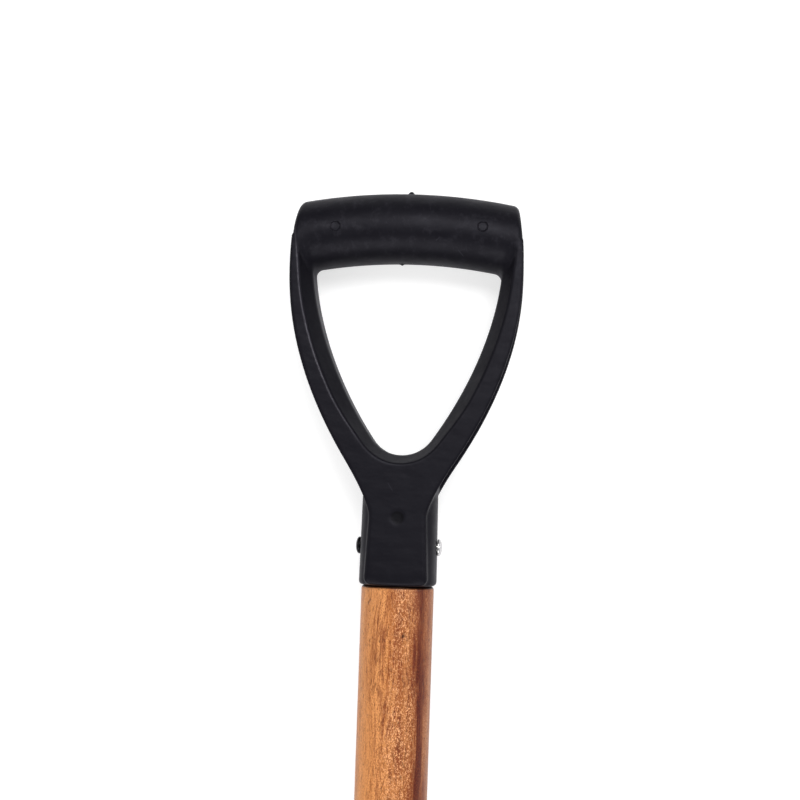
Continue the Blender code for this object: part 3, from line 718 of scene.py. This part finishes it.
def gripField(s, x, y, z):
    flatX, flatY = x[:, :, :1], y[:, :, :1]
    outer = outlineDistance(gripOutline(s), flatX[..., 0], flatY[..., 0])[..., None]
    window = outlineDistance(windowOutline(s), flatX[..., 0], flatY[..., 0])[..., None]
    depth = np.abs(z)
    wide = np.abs(x)
    halfDepth = halfDepthAt(s, y) - s["lipDrop"] * np.clip(1 - y / s["lipBand"], 0, None) ** 2

    # The arms' inner side is a wall between two slopes that meet the faces in a crease.
    across = slopeAcross(s, y)
    deep = s["armHalfDepth"] - s["wallHalfDepth"]
    slope = ((depth - s["wallHalfDepth"]) * across - window * deep) / np.hypot(across, deep)
    inner = roundMax(-window, slope, s["wallCorner"])
    high, low = s["padFade"]
    onPad = np.clip((high - y) / (high - low), 0, 1)
    drafted = outer - s["padDraft"] * onPad * np.clip(halfDepth - depth, 0, None)
    edgeRound = s["edgeRound"] + s["padEdgeRound"] * onPad * np.clip(y / s["padCorner"], 0, 1)
    fork = roundMax(drafted, depth - halfDepth, edgeRound)
    fork = roundMax(fork, inner, s["creaseRound"])
    archRadius = s["barArchRadius"]
    ring = np.hypot(x, y - (s["barHeight"] - archRadius)) - archRadius
    fork = np.maximum(fork, ring)
    bar = roundMax(np.hypot(ring, z) - s["barRadius"], outer + s["barEndInset"], s["barEndRound"])
    fading = np.clip((window - s["blendNear"]) / (s["blendFar"] - s["blendNear"]), 0, 1)
    solid = roundMin(fork, bar, s["cornerBlend"] + (s["edgeRound"] - s["cornerBlend"]) * fading)
    solid = np.maximum(solid, drafted)

    # Socket, a little squarer than round
    power = s["socketSquareness"]
    fuller = (wide ** power + depth ** power) ** (1 / power)
    socket = roundMax(fuller - s["mouthRadius"] + s["socketTaper"] * y / s["socketHeight"], -y, s["lipRound"])
    socket = roundMax(socket, y - s["socketHeight"], s["socketTopRound"])
    solid = roundMin(solid, socket, s["socketJoin"])

    # Recess along each arm's outer side, with cross ribs a little below the flanges' edges
    channel = depth - (halfDepth - s["flange"])
    length = np.maximum(s["recessFoot"] - y, y - s["recessTop"])
    besideBore = s["boreRadius"] + s["recessWall"] - wide
    pockets = np.maximum(s["web"] + np.maximum(-window, slope), besideBore)
    pitch = (s["recessTop"] - s["recessFoot"] + s["ribThickness"]) / (s["ribCount"] + 1)
    for k in range(1, s["ribCount"] + 1):
        middle = s["recessFoot"] + pitch * k - s["ribThickness"] / 2
        pockets = np.maximum(pockets, s["ribThickness"] / 2 - np.abs(y - middle))
    rims = np.maximum(-(outer + s["rimDepth"]), besideBore)
    recess = roundMax(np.maximum(np.minimum(pockets, rims), length), channel, s["recessRound"])
    solid = roundMax(solid, -recess, s["mouthRound"])

    # Bores of the crossbar and of the socket, and the hole for the screws
    barBore = np.hypot(ring, z) - s["barBoreRadius"]
    solid = roundMax(solid, -np.maximum(barBore, s["barCoreWidth"] / 2 - wide), s["mouthRound"])
    bore = np.maximum(np.hypot(x, z) - s["boreRadius"], y - s["boreDepth"])
    solid = roundMax(solid, -bore, s["boreRound"])
    hole = np.hypot(y - screwHeight, z) - s["screwHoleRadius"]
    solid = np.maximum(solid, -np.maximum(hole, s["boreRadius"] / 2 - wide))

    # Sunken round mark on the front, and the nubs that the mould's gates left
    floor = halfDepth - s["dimpleDepth"]
    dimple = np.hypot(x, y - s["dimpleHeight"]) - s["dimpleRadius"]
    solid = np.maximum(solid, -np.maximum(dimple, floor - z))
    for aside, side, radius in s["gates"]:
        up = y - s["barHeight"] - side * s["barRadius"]
        nub = np.sqrt((x - aside) ** 2 + up ** 2 + z * z) - radius
        solid = roundMin(solid, nub, s["gateJoin"])
    return solid


def slab(parts):
    # What picks a part of a grid, from the slice along each axis
    return tuple(parts.get(axis, slice(None)) for axis in range(3))


def surfaceNet(field, origin, cell):
    cells = tuple(count - 1 for count in field.shape)
    hits = np.zeros(cells, np.int32)
    total = np.zeros(cells + (3,), np.float32)
    crossings = []
    for axis in range(3):
        a, b = field[slab({axis: slice(0, -1)})], field[slab({axis: slice(1, None)})]
        crossing = (a < 0) != (b < 0)
        share = np.where(crossing, a / np.where(crossing, a - b, 1), 0)
        crossings.append((crossing, a < 0))
        u, v = [other for other in range(3) if other != axis]
        for du, dv in ((0, 0), (0, 1), (1, 0), (1, 1)):
            pick = slab({u: slice(du, du + cells[u]), v: slice(dv, dv + cells[v])})
            found = crossing[pick]
            hits += found
            total[..., axis] += share[pick]
            total[..., u] += found * du
            total[..., v] += found * dv
    used = hits > 0
    number = np.full(cells, -1, np.int64)
    number[used] = np.arange(used.sum())
    places = np.argwhere(used) + total[used] / hits[used][:, None]
    points = np.array(origin) + places * cell

    faces = []
    for axis, (crossing, insideFirst) in enumerate(crossings):
        u, v = [other for other in range(3) if other != axis]
        inner = slab({u: slice(1, -1), v: slice(1, -1)})
        edge = np.argwhere(crossing[inner])
        outward = insideFirst[inner][tuple(edge.T)]
        corners = []
        for du, dv in ((0, 0), (1, 0), (1, 1), (0, 1)):
            at = edge.copy()
            at[:, u] += du
            at[:, v] += dv
            corners.append(number[tuple(at.T)])
        quads = np.stack(corners, axis=1)
        turned = outward == (axis == 1)
        quads[turned] = quads[turned][:, ::-1]
        faces.append(quads)
    return points, np.concatenate(faces)


def evenOut(points, quads):
    # Moves each point halfway to the mean of its neighbours
    first = quads.ravel()
    second = np.roll(quads, -1, axis=1).ravel()
    count = np.bincount(first, minlength=len(points))
    sums = [np.bincount(first, points[second, axis], len(points)) for axis in range(3)]
    return (points + np.stack([each / count for each in sums], axis=1)) / 2


def pullToSurface(s, points):
    # One step down the field's slope, to where it is zero
    step = s["cell"] * s["probe"]
    x, y, z = (points[:, axis].reshape(-1, 1, 1) for axis in range(3))
    here = gripField(s, x, y, z).ravel()
    around = ((x + step, y, z), (x, y + step, z), (x, y, z + step))
    slope = np.stack([(gripField(s, *place).ravel() - here) / step for place in around], axis=1)
    size = np.maximum((slope ** 2).sum(axis=1), s["leastSlope"])
    return points - np.clip(here / size, -s["cell"] / 2, s["cell"] / 2)[:, None] * slope


def makeGrip(s, material):
    cell = s["cell"]
    aside = math.ceil((s["gripWidth"] / 2 + 2 * cell) / cell)
    above = math.ceil((s["barHeight"] + s["barRadius"] + 3 * cell) / cell)
    deep = math.ceil((s["padHalfDepth"] + 2 * cell) / cell)
    xs = np.arange(-aside, aside + 1) * cell
    ys = (np.arange(-3, above + 1) + s["rowShift"]) * cell
    zs = np.arange(-deep, deep + 1) * cell
    x, y, z = np.meshgrid(xs, ys, zs, indexing="ij")
    points, quads = surfaceNet(gripField(s, x, y, z), (xs[0], ys[0], zs[0]), cell)
    for turn in range(s["settling"]):
        points = pullToSurface(s, evenOut(points, quads))
    mesh = meshFrom("hand_grip", points.tolist(), quads.tolist())
    crease = mesh.attributes.new("crease", "FLOAT", "POINT")
    crease.data.foreach_set("value", pastCrease(s, points))
    mesh.transform(toWorld)
    mesh.shade_smooth()
    return linkPiece("hand_grip", mesh, material)


grip = makeGrip(gripSizes, plastic)
handIn(grip, ["grip"])
print("grip made:", len(grip.data.polygons) * 2, "triangles")


# Shaft: a turned round whose girth follows its path

shaftSizes = {
    "radius": 0.0180,
    "spigotRadius": 0.01575,
    "spigotLength": 0.0560,
    "spigotChamfer": 0.0015,
    "spigotStations": (0.7, 0.4, 0.1),  # as shares of its length
    "spigotFoot": -0.00028,
    "shoulder": -0.0003,
    "edgeRound": 0.0018,
    "edgeSteps": 6,
    "reach": 0.4500,  # below this the shaft tapers
    "reachSteps": 24,
    "endRadius": 0.0150,
    "foot": -0.5890,
    "taperSteps": 12,
    "endRound": 0.0040,
    "sides": 96,
    "smoothAngle": math.radians(40),
}


def shaftProfile(s):
    profile = [(s["spigotRadius"] - s["spigotChamfer"], s["spigotLength"]),
               (s["spigotRadius"], s["spigotLength"] - s["spigotChamfer"])]
    profile += [(s["spigotRadius"], s["spigotLength"] * share) for share in s["spigotStations"]]
    profile.append((s["spigotRadius"], s["spigotFoot"]))
    quarter = arc(s["edgeSteps"])
    profile += [(s["radius"] - s["edgeRound"] * (1 - sine), s["shoulder"] - s["edgeRound"] * (1 - cosine))
                for sine, cosine in quarter]
    start = profile[-1][1]
    steps = s["reachSteps"]
    profile += [(s["radius"], start + (-s["reach"] - start) * k / steps) for k in range(1, steps + 1)]
    end = s["foot"] + s["endRound"]
    for k in range(1, s["taperSteps"] + 1):
        share = k / s["taperSteps"]
        profile.append((s["radius"] + (s["endRadius"] - s["radius"]) * share,
                        -s["reach"] + (end + s["reach"]) * share))
    profile += [(s["endRadius"] - s["endRound"] * (1 - cosine), end - s["endRound"] * sine)
                for sine, cosine in quarter[1:-1]]
    return profile


def newTree(name, inputs):
    tree = bpy.data.node_groups.new(name, "GeometryNodeTree")
    tree.interface.new_socket("Geometry", in_out="INPUT", socket_type="NodeSocketGeometry")
    for label, kind in inputs:
        tree.interface.new_socket(label, in_out="INPUT", socket_type="NodeSocket" + kind)
    tree.interface.new_socket("Geometry", in_out="OUTPUT", socket_type="NodeSocketGeometry")
    return tree, addNode(tree, "NodeGroupInput").outputs


def finishTree(tree, given, shape):
    real = wire(tree, "GeometryNodeRealizeInstances", {"Geometry": shape})
    done = wire(tree, "GeometryNodeSetMaterial", {"Geometry": real, "Material": given["Material"]})
    addNode(tree, "NodeGroupOutput", {"Geometry": done})
    return tree


def useTree(holder, tree, values):
    modifier = holder.modifiers.new(tree.name, "NODES")
    modifier.node_group = tree
    for item in tree.interface.items_tree:
        if item.in_out == "INPUT" and item.name in values:
            modifier[item.identifier] = values[item.name]


def turnedRoundTree():
    tree, given = newTree("turned_round", [("Sides", "Int"), ("Material", "Material")])
    path = wire(tree, "GeometryNodeMeshToCurve", {"Mesh": given["Geometry"]})
    girth = wire(tree, "GeometryNodeInputNamedAttribute", {"Name": "girth"}, data_type="FLOAT")
    circle = wire(tree, "GeometryNodeCurvePrimitiveCircle", {"Resolution": given["Sides"], "Radius": 1.0})
    swept = {"Curve": path, "Profile Curve": circle, "Scale": girth, "Fill Caps": True}
    return finishTree(tree, given, wire(tree, "GeometryNodeCurveToMesh", swept))


turnedRound = turnedRoundTree()


def makeShaft(s, material):
    profile = shaftProfile(s)
    mesh = bpy.data.meshes.new("shaft_path")
    points = [toWorld @ Vector((0, station, 0)) for radius, station in profile]
    mesh.from_pydata(points, [(k, k + 1) for k in range(len(points) - 1)], [])
    girth = mesh.attributes.new("girth", "FLOAT", "POINT")
    girth.data.foreach_set("value", [radius for radius, station in profile])
    holder = linkPiece("shaft_path", mesh)
    useTree(holder, turnedRound, {"Sides": s["sides"], "Material": material})
    return asPlainPiece(holder, "wooden_shaft", material, s["smoothAngle"])


shaft = makeShaft(shaftSizes, acacia)
handIn(shaft, ["shaft"])
print("shaft made:", len(shaft.data.polygons), "faces")


# Fasteners: one pattern piece, repeated at its places

def repeatTree():
    tree, given = newTree("repeated_piece", [("Pattern", "Object"), ("Loose Turn", "Float"), ("Seed", "Int"),
                                             ("Material", "Material")])
    pattern = wire(tree, "GeometryNodeObjectInfo", {"Object": given["Pattern"]}, "Geometry",
                   transform_space="ORIGINAL")
    turn = wire(tree, "GeometryNodeInputNamedAttribute", {"Name": "turn"}, data_type="FLOAT_VECTOR")
    placed = wire(tree, "GeometryNodeInstanceOnPoints", {"Points": given["Geometry"], "Instance": pattern,
                                                         "Rotation": turn})
    most = Wire(given["Loose Turn"])
    spin = wire(tree, "FunctionNodeRandomValue", {"Seed": given["Seed"], 2: most * -1.0, 3: most}, 1,
                data_type="FLOAT")
    angle = wire(tree, "ShaderNodeCombineXYZ", {0: spin})
    turned = wire(tree, "GeometryNodeRotateInstances", {"Instances": placed, "Rotation": angle})
    return finishTree(tree, given, turned)


repeatedPiece = repeatTree()


def lathe(name, profile, sides):
    # Turned about X, from (radius, station) pairs
    shape = bmesh.new()
    around = arc(sides, 2 * math.pi)[:-1]
    rows = [[shape.verts.new((station, radius * cosine, radius * sine)) for sine, cosine in around]
            for radius, station in profile]
    stitch(shape, [row + row[:1] for row in rows], False)
    for end in (rows[0][::-1], rows[-1]):
        shape.faces.new(end)
    bmesh.ops.recalc_face_normals(shape, faces=shape.faces)
    return meshOf(shape, name)


def repeatAt(name, pattern, places, s, material):
    # Places are pairs of a point and a turn about Z, in the tool's frame.
    mesh = bpy.data.meshes.new(name + "_places")
    mesh.from_pydata([toWorld @ Vector(point) for point, turn in places], [], [])
    lying = toWorld.to_3x3()
    turns = [(lying @ Matrix.Rotation(turn, 3, "Z")).to_euler() for point, turn in places]
    store = mesh.attributes.new("turn", "FLOAT_VECTOR", "POINT")
    store.data.foreach_set("vector", [value for turn in turns for value in turn])
    holder = linkPiece(name + "_places", mesh)
    useTree(holder, repeatedPiece, {"Pattern": pattern, "Loose Turn": s["looseTurn"], "Seed": s["seed"],
                                    "Material": material})
    piece = asPlainPiece(holder, name, material, fastenerAngle)
    bpy.data.objects.remove(pattern)
    return piece


fastenerAngle = math.radians(35)  # edges sharper than this look sharp

screwSizes = {
    "headRadius": 0.0042,
    "headHeight": 0.0023,
    "sides": 40,
    "domeSteps": 8,
    "domeShare": 0.72,  # of the head's height
    "flatShare": 0.04,
    "skirtShare": 0.06,
    "brimShare": 0.98,
    "tipShare": 0.1,
    "shankRadius": 0.0021,
    "length": 0.0150,
    "pointLength": 0.0030,
    "recessWidth": 0.0012,
    "recessLength": 0.0048,
    "recessDepth": 0.0013,
    "recessTaper": 0.6,
    "gap": 0.0003,
    "looseTurn": math.radians(40),
    "seed": 4,
}


def makeScrewPattern(s):
    head, tall, shank = s["headRadius"], s["headHeight"], s["shankRadius"]
    profile = [(head * s["flatShare"], tall)]
    profile += [(head * sine, tall * (1 - s["domeShare"] + s["domeShare"] * cosine))
                for sine, cosine in arc(s["domeSteps"])[1:]]
    profile += [(head, tall * s["skirtShare"]), (head * s["brimShare"], 0.0), (shank, 0.0),
                (shank, s["pointLength"] - s["length"]), (shank * s["tipShare"], -s["length"])]
    pattern = linkPiece("screw_pattern", lathe("screw_pattern", profile, s["sides"]))
    tools = []
    for long, short in ((s["recessLength"], s["recessWidth"]), (s["recessWidth"], s["recessLength"])):
        corners = [(tall + up * s["recessDepth"], sy * long / 2 * size, sz * short / 2 * size)
                   for up, size in ((-1, s["recessTaper"]), (1, 1.0)) for sy in (-1, 1) for sz in (-1, 1)]
        faces = [(0, 1, 3, 2), (4, 6, 7, 5), (0, 4, 5, 1), (2, 3, 7, 6), (0, 2, 6, 4), (1, 5, 7, 3)]
        tool = linkPiece("screw_recess", meshFrom("screw_recess", corners, faces))
        cut = pattern.modifiers.new("recess", "BOOLEAN")
        cut.operation = "DIFFERENCE"
        cut.solver = "EXACT"
        cut.object = tool
        tools.append(tool)
    piece = asPlainPiece(pattern, "screw_pattern", None, fastenerAngle)
    for tool in tools:
        bpy.data.objects.remove(tool)
    return piece


def bothSides(out, y):
    return [((out, y, 0), 0.0), ((-out, y, 0), math.pi)]


def makeScrews(s, material):
    g = gripSizes
    seat = g["mouthRadius"] - g["socketTaper"] * screwHeight / g["socketHeight"] + s["gap"]
    return repeatAt("grip_screws", makeScrewPattern(s), bothSides(seat, screwHeight), s, material)


screws = makeScrews(screwSizes, screwSteel)
handIn(screws, ["grip_screw_left", "grip_screw_right"])

rivetSizes = {
    "radius": 0.0025,
    "headRadius": 0.0050,
    "headHeight": 0.0030,
    "halfShank": 0.0140,
    "brim": 0.0002,
    "brimShare": 0.96,
    "flatShare": 0.03,
    "domeSteps": 10,
    "sides": 40,
    "places": (-0.4750, -0.5200),
    "gap": 0.0003,
    "looseTurn": math.pi,
    "seed": 2,
}


def shaftRadiusAt(y):
    s = shaftSizes
    run = -s["foot"] - s["reach"]
    into = min(max(-y - s["reach"], 0.0), run)
    return s["radius"] + (s["endRadius"] - s["radius"]) * into / run


def makeRivets(s, material):
    # Each head is turned with its half of the shank, so four places share one pattern.
    head, brim = s["headRadius"], s["brim"]
    profile = [(s["radius"], -s["halfShank"]), (s["radius"], 0.0), (head * s["brimShare"], 0.0), (head, brim)]
    profile += [(max(head * cosine, head * s["flatShare"]), brim + (s["headHeight"] - brim) * sine)
                for sine, cosine in arc(s["domeSteps"])[1:]]
    pattern = linkPiece("rivet_pattern", lathe("rivet_pattern", profile, s["sides"]))
    wall = bladeSizes["socketClearance"] + bladeSizes["sheet"] + s["gap"]
    places = [place for y in s["places"] for place in bothSides(shaftRadiusAt(y) + wall, y)]
    return repeatAt("socket_rivets", pattern, places, s, material)


# Blade: one pressed sheet, dished, with a raised frog that closes into the rolled socket

bladeSizes = {
    "length": 0.2850,
    "width": 0.2160,
    "shoulderWidth": 0.2080,
    "widestAt": 0.0600,
    "tipWidth": 0.0030,
    "outlinePowers": (1.9, 0.66),
    "sheet": 0.0018,
    "rimShare": 0.28,  # of the sheet, rounded off at its rim
    "rimSegments": 2,
    "rimAngle": math.radians(60),
    "dish": 0.0170,
    "dishPower": 2.2,
    "lift": math.radians(12.0),
    "liftRun": 0.0700,
    "tipRise": 0.0080,
    "heelDepth": 0.0240,
    "frogLength": 0.1150,
    "frogFootWidth": 0.0680,
    "frogFootFlare": 0.0070,
    "frogCrownShare": 0.58,  # of the frog's girth, still round
    "frogPull": 0.55,
    "socketLength": 0.1650,
    "openRun": 0.0750,
    "socketClearance": 0.0004,
    "seamGap": 0.0016,
    "treadRise": 0.0120,
    "treadBend": 0.0030,
    "treadStart": 0.0380,
    "treadEnd": 0.0960,
    "treadSlope": 0.0120,
    "treadEndShare": 0.45,  # of its height, at its ends
    "treadBends": 6,
    "treadSteps": 3,
    "shoulderY": -0.6150,
    "shaftStop": 0.0260,
    "columns": 24,
    "socketSteps": 8,
    "openSteps": 18,
    "panSteps": 44,
    "panPower": 1.15,
    "treadColumns": 11,
    "rimStep": 0.002,
    "farFromRim": 0.05,
    "panStart": -0.001,
    "smoothAngle": math.radians(50),
}


def ease(t):
    return easeIn(min(max(t, 0.0), 1.0))


def bladeHalfWidth(b, s):
    if s < b["widestAt"]:
        share = 1 - s / b["widestAt"]
        return (b["width"] - (b["width"] - b["shoulderWidth"]) * share * share) / 2
    u = (s - b["widestAt"]) / (b["length"] - b["widestAt"])
    full, blunt = b["outlinePowers"]
    return max(b["width"] / 2 * max(1 - u**full, 0.0) ** blunt, b["tipWidth"] / 2)


def panHeight(b, x, s):
    s = max(s, 0.0)
    slope = math.tan(b["lift"])
    rise = slope * s * s / (2 * b["liftRun"]) if s < b["liftRun"] else slope * (s - b["liftRun"] / 2)
    tip = b["tipRise"] * (s / b["length"]) ** 3
    return -b["heelDepth"] + rise + tip + b["dish"] * (abs(x) / (b["width"] / 2)) ** b["dishPower"]


def stripPoint(b, j, s):
    share = abs(j) / b["columns"]
    side = 1 if j >= 0 else -1
    bore = shaftRadiusAt(b["shoulderY"] - min(s, -b["shaftStop"])) + b["socketClearance"]
    seam = math.asin(b["seamGap"] / 2 / bore)
    tube = heading((math.pi - seam) * share) * bore
    crown = b["frogCrownShare"]
    footX = b["frogFootWidth"] / 2
    foot = Vector((footX, panHeight(b, footX, 0)))
    if share <= crown:
        hat = heading(math.pi / 2 * share / crown) * bore
    else:
        top = Vector((bore, 0))
        topPull = Vector((bore, foot.y * b["frogPull"]))
        footPull = Vector((foot.x - b["frogFootFlare"], foot.y))
        hat = bezierPoint(top, topPull, footPull, foot, (share - crown) / (1 - crown))
    if s <= 0:
        point = tube.lerp(hat, ease((s + b["openRun"]) / b["openRun"]))
        return (side * point.x, b["shoulderY"] - s, point.y)
    rise = hat.y - panHeight(b, hat.x, 0)
    x = hat.x * bladeHalfWidth(b, s) / bladeHalfWidth(b, 0)
    return (side * x, b["shoulderY"] - s, panHeight(b, x, s) + rise * (1 - ease(s / b["frogLength"])))


def treadSection(b, x):
    # Outward and upward steps of the foot tread: a bend, then a flat flange
    bend, low = b["treadBend"], b["treadEndShare"]
    ends = min(x - b["treadStart"], b["treadEnd"] - x) / b["treadSlope"]
    tall = (b["treadRise"] - bend) * (low + (1 - low) * ease(ends))
    section = [(bend * sine, bend * (1 - cosine)) for sine, cosine in arc(b["treadBends"])[1:]]
    return section + [(bend, bend + tall * k / b["treadSteps"]) for k in range(1, b["treadSteps"] + 1)]


def bladeSheet(b):
    columns, steps = b["columns"], b["treadColumns"]
    above = [-b["socketLength"] + (b["socketLength"] - b["openRun"]) * k / b["socketSteps"]
             for k in range(b["socketSteps"])]
    above += [-b["openRun"] * (1 - k / b["openSteps"]) for k in range(b["openSteps"])]
    below = [b["length"] * sine ** b["panPower"] for sine, cosine in arc(b["panSteps"])]
    shape = bmesh.new()
    strip = [[shape.verts.new(stripPoint(b, j, s)) for j in range(-columns, columns + 1)]
             for s in above + below]
    for row, after in zip(strip, strip[1:]):
        for corners in zip(row, after, after[1:], row[1:]):
            shape.faces.new(corners)
    marks = [b["treadStart"] + (b["treadEnd"] - b["treadStart"]) * k / steps for k in range(steps + 1)]

    def pointOn(side, x, s, z=0.0, y=0.0):
        return shape.verts.new((side * x, b["shoulderY"] - s + y, panHeight(b, x, s) + z))

    for side in (1, -1):
        rows = []
        for s, row in zip(below, strip[len(above):]):
            scale = bladeHalfWidth(b, s) / bladeHalfWidth(b, 0)
            wing = [pointOn(side, mark * scale, s) for mark in marks + [b["shoulderWidth"] / 2]]
            rows.append([row[-1 if side > 0 else 0]] + wing)
        stitch(shape, rows, side > 0)
        columnsOut = [[(x, step) for step in treadSection(b, x)] for x in marks]
        tread = [[pointOn(side, x, 0, z, y) for x, (y, z) in row] for row in zip(*columnsOut)]
        stitch(shape, [rows[0][1:-1]] + tread, side < 0)
    return meshOf(shape, "blade_sheet")


def rimDistance(b, point):
    # How far a point of the pan is from the blade's cutting edge; the socket counts as far away
    local = toTool @ point
    s = b["shoulderY"] - local.y
    if s < b["panStart"]:
        return b["farFromRim"]
    half, further = (bladeHalfWidth(b, min(s + step, b["length"])) for step in (0, b["rimStep"]))
    slope = (further - half) / b["rimStep"]
    return max(min((half - abs(local.x)) / math.hypot(1, slope), b["length"] - s), 0.0)


def makeBlade(b, material):
    holder = linkPiece("blade_sheet", bladeSheet(b))
    wall = holder.modifiers.new("wall", "SOLIDIFY")
    wall.thickness = b["sheet"]
    wall.offset = 1.0
    wall.use_even_offset = True
    edge = holder.modifiers.new("edge", "BEVEL")
    edge.width = b["sheet"] * b["rimShare"]
    edge.segments = b["rimSegments"]
    edge.limit_method = "ANGLE"
    edge.angle_limit = b["rimAngle"]
    piece = asPlainPiece(holder, "steel_blade", material, b["smoothAngle"])
    mesh = piece.data
    mesh.transform(toWorld)
    store = mesh.attributes.new("rimDistance", "FLOAT", "POINT")
    store.data.foreach_set("value", [rimDistance(b, vertex.co) for vertex in mesh.vertices])
    return piece


blade = makeBlade(bladeSizes, bladeCoat)
handIn(blade, ["blade"])
rivets = makeRivets(rivetSizes, rivetSteel)
handIn(rivets, ["socket_rivet_upper", "socket_rivet_lower"])
print("blade and fasteners made:", len(blade.data.polygons), "faces")


# Floor, lights and world

studio = {
    "floorReach": 6.0,
    "floorDrop": 0.0002,
    "floorColour": (0.50, 0.50, 0.50, 1.0),
    "floorRoughness": 0.9,
    "floorGlow": 0.64,
    "farGlow": 0.40,  # more of it where the lamps don't reach
    "farReach": (1.0, 2.4),
    "glossyShare": 0.65,  # of that glow in reflections, where the room was darker
    "mirrorTint": (0.92, 0.90, 1.0, 1.0),
    "worldStrength": (0.40, 0.27),  # at the horizon and overhead
    "lamps": (
        # name, place from the grip's middle, size across and along, power
        ("soft_key", (0.22, 0.62, 1.45), (0.90, 0.50), 18.5),
        ("soft_fill", (-0.15, -1.10, 0.80), (1.40, 0.50), 11.0),
        ("side_left", (-1.30, 0.20, 0.70), (0.40, 1.20), 3.0),
        ("side_right", (1.30, 0.25, 0.80), (0.40, 1.20), 6.0),
    ),
}


def rays(tree, *kinds):
    path = addNode(tree, "ShaderNodeLightPath")
    return [Wire(path.outputs[f"Is {kind} Ray"]) for kind in kinds]


def makeFloor(look):
    reach, down = look["floorReach"], -look["floorDrop"]
    corners = [(sx * reach, sy * reach, down) for sx, sy in ((-1, -1), (1, -1), (1, 1), (-1, 1))]
    material, shader, place = newMaterial("pale_floor")
    camera, glossy, through = rays(place.tree, "Camera", "Glossy", "Transmission")
    seen = camera.most(glossy * look["glossyShare"]).most(through)
    farOff = spread(measure("LENGTH", place), *look["farReach"]) * camera
    feed(shader, {
        "Base Color": look["floorColour"],
        "Roughness": look["floorRoughness"],
        "Specular IOR Level": 0.0,
        "Emission Color": blendColour(glossy, (1, 1, 1, 1), look["mirrorTint"]),
        "Emission Strength": farOff * look["farGlow"] + seen * look["floorGlow"],
    })
    floor = linkPiece("floor", meshFrom("floor", corners, [(0, 1, 2, 3)]), material)


def makeLamps(look):
    middle = toWorld @ Vector((0, cameraView["aimHeight"], 0))
    for name, place, size, power in look["lamps"]:
        data = bpy.data.lights.new(name, "AREA")
        data.shape = "RECTANGLE"
        data.size, data.size_y = size
        data.energy = power
        lamp = bpy.data.objects.new(name, data)
        lamp.location = middle + Vector(place)
        lamp.rotation_euler = Vector(place).to_track_quat("Z", "Y").to_euler()
        bpy.context.scene.collection.objects.link(lamp)


def makeWorld(look):
    world = bpy.data.worlds.new("studio")
    bpy.context.scene.world = world
    world.use_nodes = True
    tree = world.node_tree
    camera, glossy = rays(tree, "Camera", "Glossy")
    height = axesOf(wire(tree, "ShaderNodeTexCoord", output="Generated"))[2]
    feed(tree.nodes["Background"], {
        "Color": blendColour(glossy, (1, 1, 1, 1), look["mirrorTint"]),
        "Strength": spread(height, 0.0, 1.0, *look["worldStrength"]).most(camera),
    })


makeFloor(studio)
makeLamps(studio)
makeWorld(studio)
bpy.context.scene.view_settings.view_transform = "Standard"
